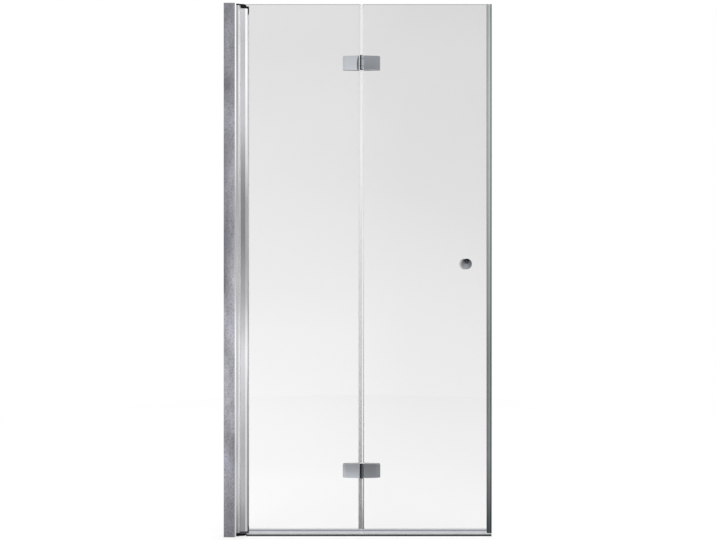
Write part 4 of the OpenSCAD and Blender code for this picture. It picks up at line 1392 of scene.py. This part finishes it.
@dataclass
class FoldHinge(Assembly):
    """One glass hinge: two wedge leaves with split knuckles, two clamp plates, pin and sleeve."""

    level: Level

    def build(self) -> None:
        """Makes the pieces of one hinge."""
        name = self.level.value
        self.copies(
            Body.TURNING,
            (name + "_fixed_leaf", "chrome", name + "_fixed_chrome", 0.4),
            (name + "_fixed_clamp", "chrome", "chrome_plate", 0.4),
            (name + "_hinge_pin", "steel", "brushed_steel", 0.2),
            (name + "_bearing_sleeve", "black_plastic", "matt_black_sleeve", 0.4),
        )
        self.copies(
            Body.FOLDING,
            (name + "_moving_leaf", "chrome", name + "_moving_chrome", 0.5),
            (name + "_moving_clamp", "chrome", "chrome_plate", 0.4),
        )


@dataclass
class HingeFittings(Assembly):
    """Gaskets, ferrules, screws and washers, which both hinges share as groups."""

    def build(self) -> None:
        """Makes the small pieces of both hinges on each panel."""
        for side, body in (("fixed", Body.TURNING), ("moving", Body.FOLDING)):
            self.copies(
                body,
                (side + "_leaf_gaskets", "black_rubber", "black_rubber", 0.15),
                (side + "_leaf_screws", "steel", "brushed_steel", 0.15),
            )
            self.recoat(side + "_leaf_ferrules", "white_nylon")
        self.copies(Body.TURNING, ("thrust_washers", "black_plastic", "black_bearing_plastic", 0.1))


@dataclass
class Knobs(Assembly):
    """The pair of round knobs, each a turned profile, with their washers and stud."""

    neck_radius: float = 8.0 * MM
    neck_length: float = 11.0 * MM
    neck_slope: float = 0.4 * MM
    throat: float = 3.0 * MM
    edge: float = 4.0 * MM
    dome: float = 2.6 * MM

    def _profile(self, radius: float, length: float) -> Loop:
        """Half section of a knob: neck, hollow throat, full round rim and a domed face.

        The throat is a quarter circle between neck and rim. The dome is part of a large circle
        on the axis, and the rim's circle touches it from inside, so its centre lies on a line
        from the dome's centre, the dome's radius less its own away.

        Args:
            radius: Radius of the knob.
            length: Length of the knob from its washer.

        Returns:
            Rows of radius and distance.
        """
        neck, throat, back, slope = self.neck_radius, self.throat, self.neck_length, self.neck_slope
        reach = radius - self.edge
        big = (reach * reach + self.dome * self.dome) / (2.0 * self.dome)
        middle = length - big
        lift = math.sqrt((big - self.edge) ** 2 - reach * reach)
        tangent = math.degrees(math.atan2(lift, reach))
        return np.concatenate([
            [(0.0, 0.0), (neck - slope, 0.0), (neck, slope)],
            arc((neck + throat, back - throat), throat, 180, 90, 10),
            arc((reach, back + self.edge), self.edge, -90, 0, 14),
            arc((reach, middle + lift), self.edge, 0, tangent, 14),
            arc((0.0, middle), big, tangent, 90, 24)[1:],
        ])

    def build(self) -> None:
        """Makes both knobs, and finishes the washers, ferrule and stud."""
        for node, facing in (("outside_knob", -1), ("inside_knob", 1)):
            box = Box.of(node)
            x, z = box.middle()
            shell = Shell()
            profile = self._profile((box.x1 - box.x0) / 2, box.y1 - box.y0)
            shell.revolve(profile, (x, box.y1 if facing < 0 else box.y0, z), facing)
            piece = shell.mesh(node + "_turned")
            stand_for(piece, node, Body.FOLDING, self.finishes["chrome_plate"])
        self.recoat("knob_washers", "white_nylon")
        self.recoat("knob_ferrule", "white_nylon")
        self.recoat("knob_stud", "brushed_steel")


# ---------------------------------------------------------------- studio


@dataclass(frozen=True)
class EdgeBoard:
    """A board that stands in a plane through the camera's mirror image in the glass.

    The panes therefore mirror it edge-on, as nothing, and only turned metal beside it shows it.
    At a place y its x is the slope times the distance to that image, which lies as far behind the
    door as the camera stands in front of it.
    """

    name: str
    slope: float
    along: Point
    tones: Greys

    def build(self, studio: Studio) -> None:
        """Makes the board, from the first height of its tones to the last.

        Args:
            studio: The studio that it stands in.
        """
        (y0, y1), low, high = self.along, self.tones[0][0], self.tones[-1][0]
        x0, x1 = (self.slope * (studio.distance - y) for y in self.along)
        corners = np.array([(x0, y0, low), (x1, y1, low), (x1, y1, high), (x0, y0, high)])
        sheet = Sheet(self.name + "_grey")
        peak = max(tone for _, tone in self.tones)
        stops = tuple(((z - low) / (high - low), tone / peak) for z, tone in self.tones)
        shade = sheet.grey_ramp(sheet.share(sheet.axis("Z"), low, high), stops)
        studio.mirror_only(self.name, corners, [[0, 1, 2, 3]], sheet.finish(sheet.glow(shade, peak)))


@dataclass(frozen=True)
class Card:
    """A card behind the camera that fades out towards its edges, with one tone left and one right."""

    name: str
    level: float
    left: Greys
    right: Greys
    reach: float = 0.5
    wide: float = 1.8
    away: float = 4.0
    seam: float = 0.06
    fade_up: Greys = ((0.0, 0.0), (0.36, 1.0), (0.64, 1.0), (1.0, 0.0))
    fade_across: Greys = ((0.0, 0.0), (0.1, 1.0), (0.9, 1.0), (1.0, 0.0))

    def build(self, studio: Studio) -> None:
        """Makes the card. Its tones are given by the height from its middle.

        Args:
            studio: The studio that it stands in.
        """
        sheet = Sheet(self.name + "_grey")
        up, x = sheet.share(sheet.axis("Z"), -self.reach, self.reach), sheet.axis("X")
        left, right = (
            sheet.grey_ramp(up, tuple((0.5 + z / (2 * self.reach), tone) for z, tone in side), COOL)
            for side in (self.left, self.right)
        )
        glow = sheet.glow(sheet.blend(left, right, sheet.share(x, 0.0, self.seam)))
        over = sheet.grey_ramp(up, self.fade_up)
        across = sheet.grey_ramp(sheet.share(x, -self.wide, self.wide), self.fade_across)
        fade = sheet.either(sheet.multiply(over, across), sheet.add("BsdfTransparent", {}), glow)
        corners = np.array(rectangle(-self.wide, -self.reach, self.wide, self.reach))
        points = placed(corners, -self.away, Lay.FRONT)
        card = studio.mirror_only(self.name, points, [[0, 3, 2, 1]], sheet.finish(fade))
        card.location = (0.0, 0.0, self.level)


@dataclass(frozen=True)
class Studio:
    """Camera, lamps, floor and white surroundings, with grey boards that only metal mirrors."""

    photo_width_px: float = 716.0
    metres_per_px: float = 3.648 * MM
    eye_height: float = 0.975
    distance: float = 3.6
    sensor: float = 36.0
    lamp_size: float = 2.4
    lamp_aim: Tone = (0.0, 0.0, 0.9)
    floor_radius: float = 2.6
    floor_place: Tone = (0.0, 1.45, -0.5 * MM)
    floor_tone: tuple[float, ...] = (0.3, 0.3, 0.3, 1.0)
    floor_glow: Point = (0.72, 0.015)
    world_light: float = 0.72
    ring_radius: float = 4.6
    ring_steps: int = 120
    ring_heights: Point = (-2.5, 5.2)

    def build(self, front: float) -> None:
        """Sets up everything that isn't the door.

        Args:
            front: The y of the wall profile's front, at which the photo's scale holds.
        """
        self._camera(front)
        self._lamps()
        self._floor()
        self._world()
        self._ring()
        for board in BOARDS:
            board.build(self)
        bpy.context.scene.view_settings.view_transform = "Standard"

    def mirror_only(self, name: str, points: np.ndarray, faces: list[list[int]], finish: Material) -> Piece:
        """Adds a stage piece that only glossy rays see.

        Args:
            name: Name of the piece.
            points: Its corners.
            faces: Its faces.
            finish: Its material.

        Returns:
            The piece.
        """
        mesh = bpy.data.meshes.new(name)
        mesh.from_pydata(points.tolist(), [], faces)
        board = linked(name, mesh)
        for flag in ("camera", "diffuse", "transmission", "volume_scatter", "shadow"):
            setattr(board, "visible_" + flag, False)
        dress(board, finish)
        return board

    def _camera(self, front: float) -> None:
        """A level camera whose frame is as wide, at the door's front, as the photo shows.

        Args:
            front: The y of the door's front.
        """
        data = bpy.data.cameras.new("camera")
        data.sensor_width = self.sensor
        data.lens = self.sensor * (self.distance + front) / (self.photo_width_px * self.metres_per_px)
        camera = linked("camera", data)
        camera.location = (0.0, -self.distance, self.eye_height)
        camera.rotation_euler = (math.pi / 2, 0.0, 0.0)
        bpy.context.scene.camera = camera

    def _lamps(self) -> None:
        """Two large soft lamps in front and one behind."""
        for name, place, power in (
            ("key_lamp", (-2.2, -3.0, 3.4), 42.0),
            ("fill_lamp", (2.6, -2.6, 2.2), 22.0),
            ("back_lamp", (0.6, 1.9, 4.4), 34.0),
        ):
            data = bpy.data.lights.new(name, "AREA")
            data.energy, data.size = power, self.lamp_size
            lamp = linked(name, data)
            lamp.location = place
            aim = Vector(self.lamp_aim) - Vector(place)
            lamp.rotation_euler = aim.to_track_quat("-Z", "Y").to_euler()
            for flag in ("camera", "glossy", "transmission"):
                setattr(lamp, "visible_" + flag, False)

    def _floor(self) -> None:
        """A round pale floor that stays white to the eye apart from the door's shadow.

        It glows by a base, plus a small share of the distance to either side.
        """
        mesh = bpy.data.meshes.new("floor")
        work = bmesh.new()
        bmesh.ops.create_circle(work, cap_ends=True, radius=self.floor_radius, segments=96)
        work.to_mesh(mesh)
        work.free()
        floor = linked("floor", mesh)
        floor.location = self.floor_place
        floor.visible_glossy = False
        sheet = Sheet("pale_floor")
        base, side = self.floor_glow
        level = sheet.math("MULTIPLY_ADD", sheet.math("ABSOLUTE", sheet.axis("X")), side, base)
        seen = sheet.rays("Is Camera Ray", "Is Transmission Ray")
        matt = sheet.add("BsdfDiffuse", {"Color": self.floor_tone})
        glow = sheet.glow(WHITE, sheet.math("MULTIPLY", seen, level))
        dress(floor, sheet.finish(sheet.add("AddShader", {0: matt, 1: glow})))

    def _world(self) -> None:
        """White to the eye, in mirrors and through glass, and a little dimmer as a light."""
        sheet = Sheet("white_surroundings", world=True)
        lit, white = (
            sheet.add("Background", {"Color": WHITE, "Strength": level}) for level in (self.world_light, 1.0)
        )
        seen = sheet.rays("Is Camera Ray", "Is Glossy Ray", "Is Transmission Ray")
        bpy.context.scene.world = sheet.finish(sheet.either(seen, lit, white))

    def _ring(self) -> None:
        """A ring of boards round the studio, with a ceiling and a pit, all seen by mirrors only."""
        steps, (foot, top) = self.ring_steps, self.ring_heights
        circle = ring((0.0, 0.0), self.ring_radius, steps)
        low, high = (placed(circle, z, Lay.PLAN) for z in (foot, top))
        faces = woven(np.arange(2 * steps).reshape(2, steps))[:, ::-1].tolist()
        self.mirror_only("mirror_boards", np.concatenate([low, high]), faces, self._ring_finish())
        for name, points, tone in (("ceiling", high, 0.03), ("pit", low, 0.16)):
            sheet = Sheet(name + "_grey")
            shade = sheet.grey_ramp(sheet.noise(0.8), ((0.3, 0.8 * tone), (0.7, 1.2 * tone)))
            self.mirror_only(name, points, [list(range(steps))], sheet.finish(sheet.glow(shade)))

    def _ring_finish(self) -> Material:
        """Finish of the ring: light boards to the left, darker ones to the right, black gaps.

        The turn round the studio is the angle whose tangent is x over -y, so it is 0 behind the
        camera and grows to the right.

        Returns:
            The material.
        """
        light = (
            (0.13, 0.25), (0.2, 0.68), (0.31, 0.9), (0.385, 1.1), (0.43, 0.62), (0.47, 0.45), (0.55, 0.5),
            (0.61, 0.95), (0.66, 1.1), (0.73, 1.05), (0.8, 0.4), (1.0, 0.1),
        )
        dim = (
            (0.13, 0.3), (0.2, 0.42), (0.325, 0.38), (0.4545, 0.27), (0.545, 0.17), (0.65, 0.1),
            (0.77, 0.04), (1.0, 0.02),
        )
        side = ((0.13, 0.1), (0.27, 0.15), (0.36, 0.4), (0.52, 0.55), (0.675, 0.8), (0.78, 0.5), (1.0, 0.1))
        to_dim = ((0.0, 0.5), (0.2, 0.0), (0.497, 0.0), (0.515, 1.0), (0.8, 1.0), (1.0, 0.5))
        to_side = ((0.595, 0.0), (0.62, 1.0), (0.78, 1.0), (0.84, 0.0))
        gaps = ((0.18, 0.2, 0.08), (0.32, 0.34, 0.1), (0.7, 0.715, 0.1), (0.79, 0.82, 0.08))
        black = [(0.0, 1.0)]
        for start, end, tone in gaps:
            black += [(start - 0.01, 1.0), (start, tone), (end, tone), (end + 0.01, 1.0)]
        sheet = Sheet("grey_boards")
        turn = sheet.math("ARCTAN2", sheet.axis("X"), sheet.math("MULTIPLY", sheet.axis("Y"), -1.0))
        around = sheet.share(turn, -math.pi, math.pi)
        up = sheet.share(sheet.axis("Z"), *self.ring_heights)
        first, second, third = (sheet.grey_ramp(up, stops, COOL) for stops in (light, dim, side))
        front = sheet.blend(first, second, sheet.grey_ramp(around, to_dim))
        whole = sheet.blend(front, third, sheet.grey_ramp(around, to_side))
        gaps_seen = sheet.grey_ramp(around, (*black, (1.0, 1.0)))
        return sheet.finish(sheet.glow(sheet.multiply(whole, gaps_seen)))


BOARDS: tuple[Card | EdgeBoard, ...] = (
    Card("upper_card", 2.58, ((-0.06, 0.76), (0.06, 0.61)), ((-0.06, 0.31), (0.06, 0.41))),
    Card("lower_card", -0.575, ((-0.06, 0.68), (0.0, 0.44), (0.06, 0.32)), ((-0.06, 0.31), (0.06, 0.2))),
    EdgeBoard(
        "wall_reflector", -0.08, (-0.08, -0.6),
        (
            (-0.3, 0.6), (0.03, 0.7), (0.14, 0.79), (0.25, 0.8), (0.36, 0.88), (0.5, 1.0), (0.65, 1.13),
            (0.76, 0.98), (0.87, 0.63), (1.0, 0.49), (1.23, 0.49), (1.38, 0.85), (1.49, 1.03), (1.6, 1.12),
            (1.74, 1.24), (2.25, 1.17),
        ),
    ),
    EdgeBoard(
        "corner_reflector", -0.08, (-0.012, -0.075),
        (
            (-0.1, 0.5), (0.03, 0.6), (0.14, 0.9), (0.25, 1.1), (0.36, 1.2), (0.5, 1.4), (0.65, 1.6),
            (0.76, 1.4), (0.87, 1.0), (1.0, 0.95), (1.12, 0.85), (1.23, 0.95), (1.38, 1.2), (1.49, 1.4),
            (1.6, 1.5), (1.74, 1.5), (2.05, 1.1),
        ),
    ),
    EdgeBoard(
        "knob_flag", 0.101, (-0.006, -1.25),
        (
            (0.3, 0.5), (0.9, 0.45), (0.97, 0.36), (1.0, 0.25), (1.012, 0.18), (1.03, 0.09), (1.06, 0.03),
            (1.7, 0.02),
        ),
    ),
    EdgeBoard(
        "knob_shade", 0.117, (-0.006, -1.25),
        (
            (0.3, 0.5), (0.9, 0.4), (0.97, 0.3), (1.0, 0.2), (1.012, 0.15), (1.03, 0.07), (1.06, 0.03),
            (1.7, 0.02),
        ),
    ),
)


# ---------------------------------------------------------------- the whole door


@dataclass(frozen=True)
class HingePlan:
    """Where the hinges and their screws are, read from the frame."""

    heights: Point
    fixed_holes: list[Point]
    moving_holes: list[Point]

    @classmethod
    def read(cls, pitch: float = 26.0 * MM) -> HingePlan:
        """Takes the heights from the leaves and the holes from the screws' own boxes.

        Args:
            pitch: Distance between the two screws of a leaf.

        Returns:
            The plan.
        """
        heights = tuple(Box.of(level + "_fixed_leaf").middle()[1] for level in ("lower", "upper"))
        levels = [z + half for z in heights for half in (-pitch / 2, pitch / 2)]
        fixed, moving = (Box.of(side + "_leaf_screws").middle()[0] for side in ("fixed", "moving"))
        return cls(heights, [(fixed, z) for z in levels], [(moving, z) for z in levels])


def main() -> None:
    """Builds the door, sub-assembly by sub-assembly, and the studio round it."""
    logging.basicConfig(level=logging.INFO, format="%(message)s")
    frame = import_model()
    NODES.update(frame["nodes"])
    Studio().build(Box.of("wall_profile").y0)
    finishes = shared_finishes()
    plan = HingePlan.read()
    WallSide(finishes).build()
    TurningPanel(finishes, plan.fixed_holes).build()
    FoldingPanel(finishes, plan.moving_holes, Box.of("outside_knob").middle()).build()
    FoldSeals(plan.heights).build(Box.of("pivot_glass").x1, Box.of("folding_glass").x0)
    for level in Level:
        FoldHinge(finishes, level).build()
    HingeFittings(finishes).build()
    Knobs(finishes).build()


if __name__ == "__main__":
    main()
